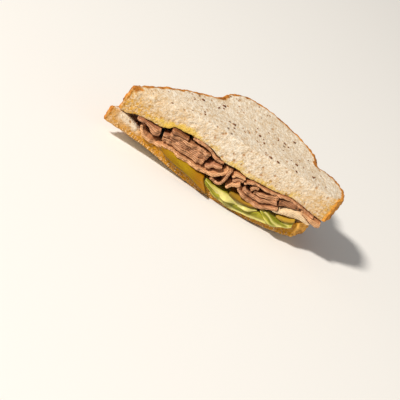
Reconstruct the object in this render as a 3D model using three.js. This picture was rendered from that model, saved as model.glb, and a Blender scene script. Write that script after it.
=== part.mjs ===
// One diagonal half of a roast beef sandwich, lying on its lower slice of bread.
// Units are millimetres. X runs along the cut from the narrow left corner to the right one,
// Y runs from the cut face back to the crust corner, Z is up. The origin is on the surface
// that the sandwich lies on, under the middle of its box.
import * as THREE from "three";

// ---- driving dimensions -------------------------------------------------------------------
const CRUST_ROUNDING = 1.7; // how far the slice's faces stand in from the crust's bulge
const BEEF_THICKNESS = 1.6; // one slice of roast beef
const LEAF_THICKNESS = 0.55;
const PICKLE_THICKNESS = 2.3;
const LAYER_GAP = 0.65; // clearance between neighbouring layers
const BACK_MARGIN = 6.5; // filling stops this far short of the crust
const CRUST_RIM = 1.7; // the crumb by the crust is less squashed, so each slice is this much thicker there
const BACK_DEPTH = 46; // depth behind the cut where the layers have flattened out
const BACK_BREAD = 13.5; // lower slice's thickness away from the cut
const FACE_SETTLE = 34; // depth behind the cut where the lower slice's underside lies flat
const RIM_REACH = 15; // the thicker crumb by the crust spreads this far inwards
const RIM_START = 10; // and grows over this depth behind the cut
const PINCHED = { from: -74, over: 12 }; // at the narrow corner the slices touch, with no room for it
const BEEF_STATIONS = [10, 22, 36]; // depths that all slices of beef share, so that they stay clear
const BEEF_SHARES = [0.3, 0.55, 0.8]; // and the shares of a short slice's depth that stand in for them
const SHEET_STATIONS = [10, 22]; // depths shared by the leaves and the pickle slices
const SHEET_SHARES = [0.35, 0.7];
const HANGING_SHARES = [0.2, 0.42, 0.7, 1]; // rows down the part that hangs over the cut edge
const BREAD_COLUMNS = 41;
const BREAD_ROWS = 8;
const BREAD_UNEVENNESS = 0.35;
const ORIGIN_SHIFT = new THREE.Vector3(2.22, -38.74, 0); // from the cut's own frame to the box centre

// Far outline of the upper slice, from the left corner round the domed crust to the right corner.
const CRUST_OUTLINE = [
  [-75.9, 1.9], [-62, 17.4], [-44, 35], [-30, 47.5], [-21.5, 54.5], [-18.4, 58.4], [-16.6, 64],
  [-12.6, 71.6], [-7, 77.8], [0, 81.2], [9, 82.4], [19, 80.8], [29, 76.2], [39, 70], [48.3, 61.4],
  [54.4, 52.2], [56.2, 43.8], [55.4, 38.6], [60.4, 37.4], [67, 34.4], [72.4, 28.6], [75.4, 21],
  [75.6, 13], [74.4, 6.4],
];
const CUT_CORNERS = { left: -74.6, right: 70.5 };

// The lower slice is the same slice, moved left and a little shorter at the right and the back.
const LOWER_SHIFT = -4.2;
const LOWER_RIGHT_SCALE = 0.945;
const LOWER_DEPTH_SCALE = 0.985;
const LOWER_CORNERS = { left: -78.8, right: 60 };

// Profiles along the cut, as [x, height] pairs.
const LOWER_FACE = [
  [-82, 8.2], [-70, 7.9], [-58, 7.3], [-48, 6.4], [-38, 4.8], [-28, 3], [-18, 1.4], [-9, 0.4], [-3, 0],
  [22, 0], [30, 0.6], [40, 2], [50, 3.8], [57, 5.6], [62, 7.8], [68, 11.6],
];
const LOWER_TOP = [
  [-84, 18.2], [-76, 18.6], [-70, 18.6], [-64, 16.8], [-58, 14.4], [-50, 12.3], [-40, 11.8], [-30, 10.8],
  [-20, 9.7], [-10, 8.5], [0, 7.4], [10, 7.2], [20, 7.6], [28, 8.3], [36, 9.2], [44, 10.9], [50, 12.7],
  [55, 15], [58, 17.4], [61, 19.4], [66, 20.6], [76, 21],
];
const UPPER_UNDERSIDE = [
  [-84, 19.2], [-76, 19.4], [-70, 19.8], [-66, 21.6], [-62, 22.7], [-55, 23.5], [-47, 23.9],
  [-43.5, 25.4], [-40, 28.6], [-34, 29.2], [-27, 29.6], [-20, 30], [-14, 29.3], [-8, 27.2], [-2, 26],
  [6, 26.4], [14, 25.4], [22, 26.4], [30, 26.8], [36, 27.6], [44, 29.2], [50, 29], [58, 27.8],
  [66, 26.8], [80, 26.2],
];
const UPPER_TOP = [[-80, 36.4], [-70, 37.6], [-50, 39.8], [-20, 43], [10, 43.2], [45, 44.4], [80, 43.2]];
// The same heights behind the cut, near the crust.
const BACK_UNDERSIDE = [[-80, 21.6], [-60, 23.4], [-18, 24], [20, 25], [60, 25.6], [80, 26.2]];
const BACK_TOP = [
  [-80, 37.4], [-60, 39.2], [-18, 39.8], [-6, 40.6], [16, 41.2], [40, 41.2], [60, 42], [80, 43],
];

// ---- small helpers ------------------------------------------------------------------------
const lerp = THREE.MathUtils.lerp;
const smooth = (t) => THREE.MathUtils.smoothstep(t, 0, 1);

/** A smooth function through [x, value] pairs, flat beyond its ends. */
function profile(pairs) {
  const last = pairs.length - 1;
  return (x) => {
    if (x <= pairs[0][0]) return pairs[0][1];
    if (x >= pairs[last][0]) return pairs[last][1];
    const i = pairs.findIndex(([px]) => px > x) - 1;
    const t = (x - pairs[i][0]) / (pairs[i + 1][0] - pairs[i][0]);
    const slope = (k) => {
      const a = pairs[Math.max(0, k - 1)];
      const b = pairs[Math.min(last, k + 1)];
      return (b[1] - a[1]) / (b[0] - a[0]);
    };
    const h = pairs[i + 1][0] - pairs[i][0];
    const t2 = t * t;
    const t3 = t2 * t;
    return (2 * t3 - 3 * t2 + 1) * pairs[i][1] + (t3 - 2 * t2 + t) * h * slope(i)
      + (3 * t2 - 2 * t3) * pairs[i + 1][1] + (t3 - t2) * h * slope(i + 1);
  };
}

/** Points spaced evenly along a smooth curve through [a, b] pairs. */
function curvePoints(pairs, count) {
  const knots = pairs.map(([a, b]) => new THREE.Vector3(a, b, 0));
  const curve = new THREE.CatmullRomCurve3(knots, false, "centripetal");
  return curve.getSpacedPoints(count - 1).map((p) => [p.x, p.y]);
}

/** Low, slow unevenness in a slice's surface, seeded by its phase. */
function unevenness(x, y, phase, height) {
  const broad = Math.sin(x * 0.13 + phase) * Math.cos(y * 0.16 - phase);
  const fine = Math.sin(x * 0.31 - y * 0.27 + 2 * phase);
  return (height * (broad + 0.6 * fine)) / 1.6;
}

// ---- the surfaces that the layers follow --------------------------------------------------
const lowerFaceAtCut = profile(LOWER_FACE);
const lowerTopAtCut = profile(LOWER_TOP);
const undersideAtCut = profile(UPPER_UNDERSIDE);
const topAtCut = profile(UPPER_TOP);
const undersideAtBack = profile(BACK_UNDERSIDE);
const topAtBack = profile(BACK_TOP);

const crustCurve = curvePoints(CRUST_OUTLINE, 90);
/** Depth of the crust behind the cut at x. */
function crustDepth(x) {
  let depth = 0;
  for (let i = 1; i < crustCurve.length; i++) {
    const [x0, y0] = crustCurve[i - 1];
    const [x1, y1] = crustCurve[i];
    const crosses = (x0 - x) * (x1 - x) <= 0 && x0 !== x1;
    if (crosses) depth = Math.max(depth, lerp(y0, y1, (x - x0) / (x1 - x0)));
  }
  return depth;
}

/** The crust's depth behind the cut, evened out along x. */
const evenCrustDepth = (x) => (crustDepth(x - 5) + 2 * crustDepth(x) + crustDepth(x + 5)) / 4;

/** How far a point has gone from the cut's own shape to the flattened back, 0 to 1. */
const backness = (y) => smooth(Math.max(0, y) / BACK_DEPTH);

/** Extra thickness of a slice by its crust. */
function crustRim(x, y) {
  const nearCrust = smooth(1 - (evenCrustDepth(x) - y) / RIM_REACH);
  const room = smooth((x - PINCHED.from) / PINCHED.over);
  return CRUST_RIM * nearCrust * room * smooth(Math.max(0, y) / RIM_START);
}

/** Height of the lower slice's underside, which curls up at both ends of the cut. */
function lowerFace(x, y) {
  return Math.max(0, lowerFaceAtCut(x)) * (1 - smooth(Math.max(0, y) / FACE_SETTLE));
}

/** Height of the face that the filling lies on. */
function lowerTop(x, y) {
  return lerp(lowerTopAtCut(x), BACK_BREAD, backness(y)) + crustRim(x, y);
}

/** Height of the upper slice's underside. */
function upperUnderside(x, y) {
  return lerp(undersideAtCut(x), undersideAtBack(x), backness(y)) - crustRim(x, y);
}

/** Height of the sandwich's top face. */
function upperTop(x, y) {
  return lerp(topAtCut(x), topAtBack(x), backness(y));
}

/** Height at depth y of a filling point that is at height z where the cut shows it. */
function layerHeight(x, y, z) {
  const share = (z - lowerTopAtCut(x)) / (undersideAtCut(x) - lowerTopAtCut(x));
  return lowerTop(x, y) + share * (upperUnderside(x, y) - lowerTop(x, y));
}

// ---- solids -------------------------------------------------------------------------------
/** A closed mesh from stacked rings of points and index triples, moved into the part's frame. */
function closedGeometry(points, triangles) {
  const geometry = new THREE.BufferGeometry();
  const flat = points.flatMap(([x, y, z]) => [x, y, z]);
  geometry.setAttribute("position", new THREE.Float32BufferAttribute(flat, 3));
  geometry.setIndex(triangles.flat());
  geometry.translate(ORIGIN_SHIFT.x, ORIGIN_SHIFT.y, ORIGIN_SHIFT.z);
  geometry.computeVertexNormals();
  return geometry;
}

/** The rim of a columns x rows grid, as grid positions in order. */
function rimOf(columns, rows) {
  const rim = [];
  for (let i = 0; i < columns; i++) rim.push([i, 0]);
  for (let j = 1; j < rows; j++) rim.push([columns - 1, j]);
  for (let i = columns - 2; i >= 0; i--) rim.push([i, rows - 1]);
  for (let j = rows - 2; j >= 1; j--) rim.push([0, j]);
  return rim;
}

/**
 * A closed solid between two grids that are split into triangles alike. Extra rings between the
 * two rims round the edge. Each ring is a function from a grid position to a point.
 */
function solidBetween(columns, rows, below, above, rings = []) {
  const points = [];
  const triangles = [];
  const index = (layer, i, j) => layer * columns * rows + i * rows + j;
  for (const face of [below, above])
    for (let i = 0; i < columns; i++)
      for (let j = 0; j < rows; j++) points.push(face(i, j));
  for (let i = 0; i < columns - 1; i++)
    for (let j = 0; j < rows - 1; j++) {
      const low = [index(0, i, j), index(0, i + 1, j), index(0, i + 1, j + 1), index(0, i, j + 1)];
      const high = low.map((n) => n + columns * rows);
      triangles.push([low[0], low[2], low[1]], [low[0], low[3], low[2]]);
      triangles.push([high[0], high[1], high[2]], [high[0], high[2], high[3]]);
    }
  const rim = rimOf(columns, rows);
  const loops = [rim.map(([i, j]) => index(0, i, j))];
  for (const ring of rings) {
    const start = points.length;
    rim.forEach(([i, j]) => points.push(ring(i, j)));
    loops.push(rim.map((_, n) => start + n));
  }
  loops.push(rim.map(([i, j]) => index(1, i, j)));
  for (let k = 0; k < loops.length - 1; k++)
    rim.forEach((_, n) => {
      const m = (n + 1) % rim.length;
      const [a, b, c, d] = [loops[k][n], loops[k][m], loops[k + 1][m], loops[k + 1][n]];
      triangles.push([a, b, c], [a, c, d]);
    });
  return closedGeometry(points, triangles);
}

/** A half slice of bread between two height functions, with a rounded crust and a flat cut face. */
function breadSlice({ outline, corners, bottom, top, phase }) {
  const columns = BREAD_COLUMNS;
  const rows = BREAD_ROWS;
  const far = curvePoints(outline, columns);
  const middle = [(corners.left + corners.right) / 2, 30];
  const at = (i, j, inset) => {
    const near = lerp(corners.left, corners.right, i / (columns - 1));
    const [fx, fy] = far[i];
    const before = far[Math.max(0, i - 1)];
    const after = far[Math.min(columns - 1, i + 1)];
    const tangent = new THREE.Vector2(after[0] - before[0], after[1] - before[1]).normalize();
    const inward = new THREE.Vector2(tangent.y, -tangent.x);
    if (inward.dot(new THREE.Vector2(middle[0] - fx, middle[1] - fy)) < 0) inward.negate();
    const share = j / (rows - 1);
    const ends = i === 0 ? 1 : i === columns - 1 ? -1 : 0;
    const x = lerp(near + ends * inset, fx + inward.x * inset, share);
    const y = lerp(0, fy + inward.y * inset, share);
    return [x, y];
  };
  const height = (x, y, share) => lerp(bottom(x, y), top(x, y), share);
  const layer = (inset, share) => (i, j) => {
    const [x, y] = at(i, j, inset);
    return [x, y, height(x, y, share)];
  };
  const above = (i, j) => {
    const [x, y] = at(i, j, CRUST_ROUNDING);
    return [x, y, top(x, y) + unevenness(x, y, phase, BREAD_UNEVENNESS)];
  };
  const shoulder = CRUST_ROUNDING * 0.35;
  const rings = [layer(shoulder, 0.1), layer(0, 0.5), layer(shoulder, 0.9)];
  return solidBetween(columns, rows, layer(CRUST_ROUNDING, 0), above, rings);
}

/**
 * The depths of a slice of beef's rows at a point of its fold. Neighbouring slices share their
 * inner rows' depths, so that they stay clear of each other where they bend.
 */
function beefRows(x, front, depth, phase) {
  const ragged = 0.8 * Math.sin(x * 0.55 + phase) + 0.4 * Math.sin(x * 1.3 - phase);
  const room = Math.max(6, crustDepth(x) - BACK_MARGIN);
  const back = Math.min(depth, room + 1.5 * Math.sin(x * 0.3 + phase));
  const inner = BEEF_STATIONS.map((station, n) => Math.min(station, back * BEEF_SHARES[n]));
  return [front + ragged, ...inner, back];
}

/** A folded slice of beef: its fold line at the cut, carried back into the sandwich. */
function beefSlice({ fold, front, depth = 60, thickness = BEEF_THICKNESS, phase, samples }) {
  const line = curvePoints(fold, samples);
  const thicknessAt = typeof thickness === "number" ? () => thickness : profile(thickness);
  const face = (side) => (i, j) => {
    const [x0, z0] = line[Math.max(0, i - 1)];
    const [x1, z1] = line[Math.min(samples - 1, i + 1)];
    const normal = new THREE.Vector2(-(z1 - z0), x1 - x0).normalize();
    const taper = i === 0 || i === samples - 1 ? 0.55 : 1;
    const half = (thicknessAt(i / (samples - 1)) / 2) * taper * side;
    const x = line[i][0] + normal.x * half;
    const z = line[i][1] + normal.y * half;
    const y = beefRows(line[i][0], front, depth, phase)[j];
    return [x, y, layerHeight(x, y, z)];
  };
  return orientedSolid(samples, 5, face(-1), face(1));
}

/** solidBetween, with its faces turned out whichever way the grid runs. */
function orientedSolid(columns, rows, below, above) {
  const geometry = solidBetween(columns, rows, below, above);
  const position = geometry.getAttribute("position");
  const index = geometry.getIndex();
  const corner = [0, 1, 2].map(() => new THREE.Vector3());
  let volume = 0;
  for (let n = 0; n < index.count; n += 3) {
    corner.forEach((v, k) => v.fromBufferAttribute(position, index.getX(n + k)));
    volume += corner[0].dot(corner[1].clone().cross(corner[2]));
  }
  if (volume < 0)
    for (let n = 0; n < index.count; n += 3) {
      const keep = index.getX(n);
      index.setX(n, index.getX(n + 1));
      index.setX(n + 1, keep);
    }
  geometry.computeVertexNormals();
  return geometry;
}

/**
 * A point on a sheet that lies on the lower slice and droops over its cut edge. Positive travel is
 * depth behind the cut; negative travel follows a bend of the given radius, then a straight fall.
 * The offset moves the point off the sheet's middle, to its upper or lower face.
 */
function droopPoint(x, travel, offset, { lift, radius, steepest }) {
  const level = lowerTopAtCut(x) + lift(x);
  if (travel >= 0) return new THREE.Vector3(x, travel, layerHeight(x, travel, level + offset));
  const along = -travel;
  const bend = Math.min(along / radius, steepest);
  const rest = Math.max(0, along - radius * steepest);
  const y = -(radius + offset) * Math.sin(bend) - rest * Math.cos(steepest);
  const z = level - radius + (radius + offset) * Math.cos(bend) - rest * Math.sin(steepest);
  return new THREE.Vector3(x, y, z);
}

/** Travel of each row of a sheet, from its back edge to the end of its fall. */
function sheetRows(deep, drop) {
  const inner = SHEET_STATIONS.map((station, n) => Math.min(station, deep * SHEET_SHARES[n]));
  return [deep, ...inner.reverse(), 0, ...HANGING_SHARES.map((share) => -share * drop)];
}

/** A thin drooping sheet, such as a leaf or a pickle slice, with its thickness thinned at the rim. */
function droopingSheet({ left, right, back, fall, lean, thickness, rim = 1, wave, columns, ...bend }) {
  const fallAt = profile(fall);
  const leanAt = profile(lean);
  const droop = { ...bend, lift: profile(bend.lift) };
  const rows = sheetRows(back, 1).length;
  const face = (side) => (i, j) => {
    const share = i / (columns - 1);
    const x = lerp(left, right, share);
    const travel = sheetRows(back * oval(share), fallAt(x))[j];
    const edge = i === 0 || j === 0 || i === columns - 1 || j === rows - 1;
    const offset = (side * thickness * (edge ? rim : 1)) / 2;
    const p = droopPoint(x, travel, offset, droop);
    if (wave) p.add(waveOffset(x, travel, droop, wave));
    const sink = Math.max(0, lowerTopAtCut(x) + droop.lift(x) - p.z);
    return [p.x + (travel < 0 ? leanAt(x) * sink : 0), p.y, p.z];
  };
  return orientedSolid(columns, rows, face(-1), face(1));
}

/** Ruffle of a leaf, growing from the cut edge down its free margin. */
function waveOffset(x, travel, { radius }, wave) {
  const free = smooth((-travel - radius * 0.4) / 4);
  const push = wave(x) * free;
  return new THREE.Vector3(0, -push, push * 0.25);
}

/** Share of its depth that gives a sheet an oval outline: full in the middle, short at both ends. */
const oval = (share) => Math.sqrt(Math.max(0.12, 1 - Math.abs(2 * share - 1) ** 2.6));

// ---- the pieces ---------------------------------------------------------------------------
const BREAD = { color: 0xe9dcc4, roughness: 0.9, metalness: 0 };
const BEEF = { color: 0xb98468, roughness: 0.55, metalness: 0 };
const LETTUCE = { color: 0xc3cf62, roughness: 0.45, metalness: 0 };
const PICKLE = { color: 0xb39a2a, roughness: 0.3, metalness: 0 };

const sandwich = new THREE.Group();
function piece(name, look, geometry) {
  const mesh = new THREE.Mesh(geometry, new THREE.MeshStandardMaterial(look));
  mesh.name = name;
  sandwich.add(mesh);
}

/** A point of the crust's outline, moved to where the lower slice has it. */
function lowerOutline([x, y]) {
  return [LOWER_SHIFT + (x > 0 ? x * LOWER_RIGHT_SCALE : x), y * LOWER_DEPTH_SCALE];
}

piece("bread_lower", BREAD, breadSlice({
  outline: CRUST_OUTLINE.map(lowerOutline),
  corners: LOWER_CORNERS,
  bottom: lowerFace,
  top: lowerTop,
  phase: 0,
}));
piece("bread_upper", BREAD, breadSlice({
  outline: CRUST_OUTLINE,
  corners: CUT_CORNERS,
  bottom: upperUnderside,
  top: upperTop,
  phase: 1.7,
}));

// Fold lines of the beef as [x, z] at the cut, left to right. A thickness may be pairs too, of the
// share of the fold and millimetres.
const BEEF_SLICES = {
  beef_left_curl: {
    fold: [[-62.5, 21.2], [-57, 21.9], [-53.4, 21.3], [-50.6, 20.2], [-48, 20], [-46, 20.6]],
    thickness: [[0, 1], [0.35, 1.2], [0.6, 2.2], [0.8, 4.6], [1, 4.4]],
    front: -1.2, depth: 24, samples: 14, phase: 0.4,
  },
  beef_long_under: {
    fold: [
      [-57.6, 18.6], [-55.4, 16.4], [-52.4, 14.4], [-48, 13.9], [-43, 14.2], [-38.5, 15.8], [-33, 15.8],
      [-26, 15], [-18, 14.8], [-12, 14.8], [-6.4, 16], [-2.4, 18.2], [0.4, 21], [1.2, 24.2],
    ],
    thickness: [[0, 1.6], [0.45, 1.6], [0.6, 2], [0.75, 2], [1, 1.5]],
    front: -1.6, samples: 28, phase: 1.1,
  },
  beef_stack_wrap: {
    fold: [[-38.8, 23.9], [-32, 24.2], [-25, 24.6], [-19, 25], [-15, 24.9], [-12.6, 24.2]],
    thickness: [[0, 1.2], [0.4, 1.7], [1, 2]],
    front: -1.4, samples: 14, phase: 0.9,
  },
  beef_stack_low: {
    fold: [[-41, 18.7], [-36, 18.5], [-28, 18.2], [-20, 18.1], [-13.6, 18.8]],
    thickness: [[0, 2], [0.4, 2.4], [1, 2.9]],
    front: -0.9, samples: 12, phase: 2.2,
  },
  beef_stack_high: {
    fold: [[-41.5, 21.3], [-34, 21.3], [-26, 21.5], [-18, 21.8], [-12.9, 22]],
    thickness: [[0, 1.8], [0.4, 2.3], [1, 2.9]],
    front: -0.6, samples: 12, phase: 3.1,
  },
  beef_flap: {
    fold: [[-40.6, 26.4], [-37, 26.9], [-33, 27], [-29.4, 26.9]],
    thickness: [[0, 2.2], [0.5, 1.9], [1, 0.7]],
    front: -1.8, depth: 24, samples: 8, phase: 1.3,
  },
  beef_roof_left: {
    fold: [[-26.8, 28.1], [-20, 28.7], [-14.6, 27.8], [-10.6, 25.9], [-6.6, 24.9], [-2.4, 24.9]],
    thickness: 1, front: -0.6, samples: 14, phase: 2.6,
  },
  beef_wedge: {
    fold: [[-11.4, 17.2], [-10, 19.2], [-8, 21], [-5.4, 22.2], [-2.4, 22.4]],
    thickness: 1.8, front: -1.8, depth: 44, samples: 11, phase: 0.2,
  },
  beef_loop: {
    fold: [[-4.4, 13.2], [-2.6, 11.8], [0, 11.3], [2.4, 12.2], [3.6, 15], [3.9, 19], [3.6, 24.2]],
    thickness: 1.7, front: -2.2, depth: 40, samples: 17, phase: 1.9,
  },
  beef_petal: {
    fold: [[6.6, 12.8], [7.4, 15.2], [9.8, 17.5], [13.2, 19.3]],
    thickness: [[0, 1.5], [0.4, 2.3], [1, 2]],
    front: -2.2, depth: 46, samples: 12, phase: 2.8,
  },
  beef_petal_inner: {
    fold: [[8, 18.8], [10.6, 20.5], [13.6, 21.6]],
    thickness: 1.5, front: -0.6, depth: 34, samples: 7, phase: 0.7,
  },
  beef_crest: {
    fold: [[6.5, 20.8], [6.8, 22.6], [8.8, 23.9], [11.4, 24.1], [13.4, 23.8]],
    thickness: [[0, 1.5], [1, 1.2]],
    front: -1.2, depth: 40, samples: 10, phase: 2,
  },
  beef_right_under: {
    fold: [
      [13.4, 17.4], [16, 16.2], [19.6, 14.8], [24, 14], [29.4, 14], [33.5, 15.4], [38, 17.5], [41.2, 19.4],
    ],
    thickness: [[0, 1.5], [0.5, 1.8], [1, 1.3]],
    front: -2.2, samples: 17, phase: 0.6,
  },
  beef_mid_low: {
    fold: [[16.6, 18.4], [20, 17.1], [25, 16.6], [30, 17.4], [35, 19.4], [39, 21.4]],
    thickness: [[0, 1.5], [0.5, 2], [1, 2.2]],
    front: -1.2, samples: 12, phase: 1.4,
  },
  beef_mid_high: {
    fold: [[23.4, 19.2], [28, 20.2], [33, 22], [38.2, 24.1]],
    thickness: [[0, 1.5], [0.5, 2], [1, 2.2]],
    front: -0.9, samples: 9, phase: 0.1,
  },
  beef_slab_right: {
    fold: [[40.6, 22.6], [44.5, 24.3], [48.5, 25.5], [52.8, 26.1]],
    thickness: [[0, 3.2], [0.35, 3.5], [0.7, 2.6], [1, 1.2]],
    front: -0.6, depth: 36, samples: 9, phase: 2.4,
  },
  beef_pale_slab: {
    fold: [
      [38.9, 16.3], [42, 17], [46, 19.2], [50, 20.9], [54, 22.1], [58, 22.2], [61.5, 21.3], [63.8, 20.9],
    ],
    thickness: [[0, 0.7], [0.14, 1.6], [0.3, 3.4], [0.5, 5.2], [0.65, 5], [0.8, 3.1], [1, 0.9]],
    front: -1.8, depth: 32, samples: 14, phase: 3.4,
  },
  beef_upright_bit: {
    fold: [[21.2, 19.6], [21, 21.2], [22.2, 22.6], [24.6, 22.8]],
    thickness: 1.2, front: -1.4, depth: 16, samples: 9, phase: 0.8,
  },
  beef_tail: {
    fold: [[54.6, 25.8], [58, 25.2], [62, 24.4], [66, 23.7], [69.6, 23.5]],
    thickness: [[0, 0.8], [0.35, 1.6], [0.65, 2.9], [0.85, 3.3], [1, 2.8]],
    front: -2.4, depth: 28, samples: 12, phase: 1.2,
  },
  beef_roof_right: {
    fold: [
      [15.2, 21], [16.4, 23], [19, 24.5], [23, 25.1], [28, 25.1], [31.5, 25.1], [34.5, 25.6], [38.2, 26.6],
      [42, 27.7], [47, 28], [52, 27.6], [58, 26.5], [63, 25.9],
    ],
    thickness: [[0, 1.05], [1, 0.9]],
    front: -1, samples: 28, phase: 1.6,
  },
};
for (const [name, slice] of Object.entries(BEEF_SLICES)) piece(name, BEEF, beefSlice(slice));

// Pickle slices, left to right. Fall, lift and lean are [x, value] pairs along the cut.
const DEGREES = Math.PI / 180;
const PICKLE_SLICES = {
  pickle_left: {
    left: -39.5, right: -8.4, back: 30, thickness: PICKLE_THICKNESS, columns: 16,
    fall: [[-40, 3.6], [-36, 5.6], [-30, 6.3], [-20, 7.1], [-12, 9], [-6, 10.4]],
    lean: [[-40, 0.6], [-8, 0.95]],
    lift: [[-40, LAYER_GAP + PICKLE_THICKNESS / 2]],
    radius: 3, steepest: 75 * DEGREES,
  },
  pickle_middle: {
    left: 10.6, right: 31, back: 24, thickness: 1.8, columns: 11,
    fall: [[10, 1.6], [15, 3.4], [21, 3.8], [27, 3.2], [31, 1.2]],
    lean: [[10, 0]],
    lift: [[10, LAYER_GAP + 2.8]],
    radius: 4.6, steepest: 62 * DEGREES,
  },
  pickle_right: {
    left: 43.6, right: 55, back: 18, thickness: 1.8, columns: 9,
    fall: [[43, 1.4], [46, 3.2], [50, 3.8], [54, 3.6], [57, 2]],
    lean: [[43, 0]],
    lift: [[43, LAYER_GAP + 2.6]],
    radius: 4.6, steepest: 62 * DEGREES,
  },
};
for (const [name, slice] of Object.entries(PICKLE_SLICES))
  piece(name, PICKLE, droopingSheet({ rim: 0.55, ...slice }));

/** Push of a leaf's ruffle at x. */
function ruffle(size, pitch, phase) {
  const turn = (2 * Math.PI) / pitch;
  return (x) => size * (Math.sin(x * turn + phase) + 0.4 * Math.sin(x * turn * 0.81 + 2 * phase));
}

// Lettuce leaves, in the same terms.
const LEAVES = {
  lettuce_lower: {
    left: -6.2, right: 46, back: 34, columns: 29,
    fall: [[-6, 4], [0, 5.8], [6, 6.6], [12, 7.2], [22, 6.7], [32, 6.2], [40, 5.9], [46, 5.2]],
    lean: [[-6, 1], [4, 0.5], [14, 0.2], [46, 0.1]],
    lift: [[-6, LAYER_GAP + 0.35]],
    radius: 2, steepest: 80 * DEGREES, wave: ruffle(0.25, 22, 0.5),
  },
  lettuce_upper: {
    left: -6.2, right: 31.6, back: 28, columns: 22,
    fall: [[-6, 1.6], [2, 4.2], [9, 5.8], [14, 4.6], [17, 4.4], [20, 5], [25, 4.4], [29, 3], [33, 1.2]],
    lean: [[-6, 0.6], [6, 0.1]],
    lift: [[-6, LAYER_GAP + 1.3]],
    radius: 3, steepest: 60 * DEGREES, wave: ruffle(0.25, 26, 2.1),
  },
  lettuce_right: {
    left: 33, right: 55, back: 20, columns: 15,
    fall: [[33, 2.4], [37, 5.4], [42, 6.6], [48, 6], [55, 5.2]],
    lean: [[33, 0.2]],
    lift: [[33, LAYER_GAP + 2.8], [38, LAYER_GAP + 2.4], [42.5, LAYER_GAP + 1.25], [55, LAYER_GAP + 1.25]],
    radius: 3.2, steepest: 60 * DEGREES, wave: ruffle(0.2, 22, 1.2),
  },
};
for (const [name, leaf] of Object.entries(LEAVES))
  piece(name, LETTUCE, droopingSheet({ thickness: LEAF_THICKNESS, ...leaf }));

export default sandwich;
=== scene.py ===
"""A diagonal half of a roast beef sandwich: bread, folded roast beef, pickle, lettuce and mustard.

Lengths in the classes are millimetres in the cut's own frame: x runs along the cut from the narrow
corner, y runs back from the cut face and z is up. Every finished mesh is in metres, where the CAD
nodes are. Places on a slab are u along it, v from its front to its back and w from its lower face to
its upper one, each from 0 to 1.
"""
import logging
import math
from dataclasses import dataclass
from enum import Enum
from typing import Callable, ClassVar

import bpy
import numpy as np
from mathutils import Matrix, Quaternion, Vector, kdtree, noise


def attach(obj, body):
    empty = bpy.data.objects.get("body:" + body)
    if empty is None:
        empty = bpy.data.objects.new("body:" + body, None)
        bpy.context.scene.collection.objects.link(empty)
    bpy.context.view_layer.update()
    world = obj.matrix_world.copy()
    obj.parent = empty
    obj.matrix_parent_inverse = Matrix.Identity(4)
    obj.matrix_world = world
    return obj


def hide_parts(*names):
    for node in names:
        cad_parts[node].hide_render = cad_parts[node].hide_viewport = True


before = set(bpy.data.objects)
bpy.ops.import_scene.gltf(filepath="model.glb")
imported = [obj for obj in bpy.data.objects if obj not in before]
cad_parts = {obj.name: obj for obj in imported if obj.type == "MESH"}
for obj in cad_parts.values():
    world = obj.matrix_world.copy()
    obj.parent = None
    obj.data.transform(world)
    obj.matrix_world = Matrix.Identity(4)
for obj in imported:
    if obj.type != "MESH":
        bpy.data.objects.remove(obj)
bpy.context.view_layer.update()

LOG = logging.getLogger("sandwich")
Colour = tuple[float, float, float, float]
Triple = tuple[float, float, float]
Pairs = tuple[tuple[float, float], ...]
Number = np.ndarray | float
Field = Callable[[np.ndarray, np.ndarray], np.ndarray]

METRE = 1000.0
ORIGIN_SHIFT = np.array([2.22, -38.74, 0.0])  # from the cut's frame to the model's
CRUST_ROUNDING = 1.7  # how far a slice's edges draw in at its crust
CUT_ROUNDING = 0.3  # and at the cut
CRUST_RIM = 1.7  # how much a slice swells near its crust
RIM_REACH = 15.0  # the swelling's width
LIFT_REACH = 34.0  # depth at which the underside's curl at the cut has ended
BACK_DEPTH = 46.0  # depth at which the layers have reached their heights at the back
BACK_BREAD = 13.5  # the lower slice's thickness there
BACK_MARGIN = 6.5  # how far inside the crust the filling ends
LAYER_GAP = 0.65  # between the lower slice and a sheet that lies on it
UPRIGHT: Pairs = ((0, 0), (1, 0))  # for a sheet that drifts to neither side


# ---- numbers ------------------------------------------------------------------------------
def srgb(red: int, green: int, blue: int) -> Colour:
    """Returns the linear colour that a shader takes for a display colour from 0 to 255."""
    shares = [channel / 255 for channel in (red, green, blue)]
    return (*(s / 12.92 if s <= 0.04045 else ((s + 0.055) / 1.055) ** 2.4 for s in shares), 1.0)


def smooth(share: Number) -> Number:
    """Returns the smooth step of a share, flat below 0 and above 1."""
    t = np.clip(share, 0.0, 1.0)
    return t * t * (3 - 2 * t)


def rise(value: Number, start: Number, reach: Number) -> Number:
    """Returns 0 up to a start, then a smooth rise to 1 over a reach."""
    return smooth((value - start) / reach)


def fall(value: Number, start: Number, reach: Number) -> Number:
    """Returns 1 up to a start, then a smooth fall to 0 over a reach."""
    return 1 - rise(value, start, reach)


def lerp(start: Number, end: Number, share: Number) -> Number:
    """Returns the mix of two values."""
    return start + (end - start) * share


def bulge(share: Number, power: float) -> Number:
    """Returns a wall's outline: 0 at its edges and 1 halfway up; a power of 2 is a half circle."""
    return np.clip(1 - np.abs(2 * share - 1) ** power, 0, 1) ** (1 / power)


def rounded(share: Number) -> Number:
    """Returns the quarter circle that rises from 0 at share 0 to 1 at share 1."""
    return np.sqrt(np.clip(1 - (1 - np.clip(share, 0, 1)) ** 2, 0, 1))


def noise_at(points: np.ndarray, pitch: float | Triple, seed: float) -> np.ndarray:
    """Returns smooth noise of -0.7 to 0.7 at points as rows; the pitch is the size of a lump."""
    scaled = points / np.array(pitch) + np.array([seed * 17.3, seed * 9.1, seed * 5.7])
    return np.array([noise.noise(Vector(p)) for p in scaled])


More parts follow.
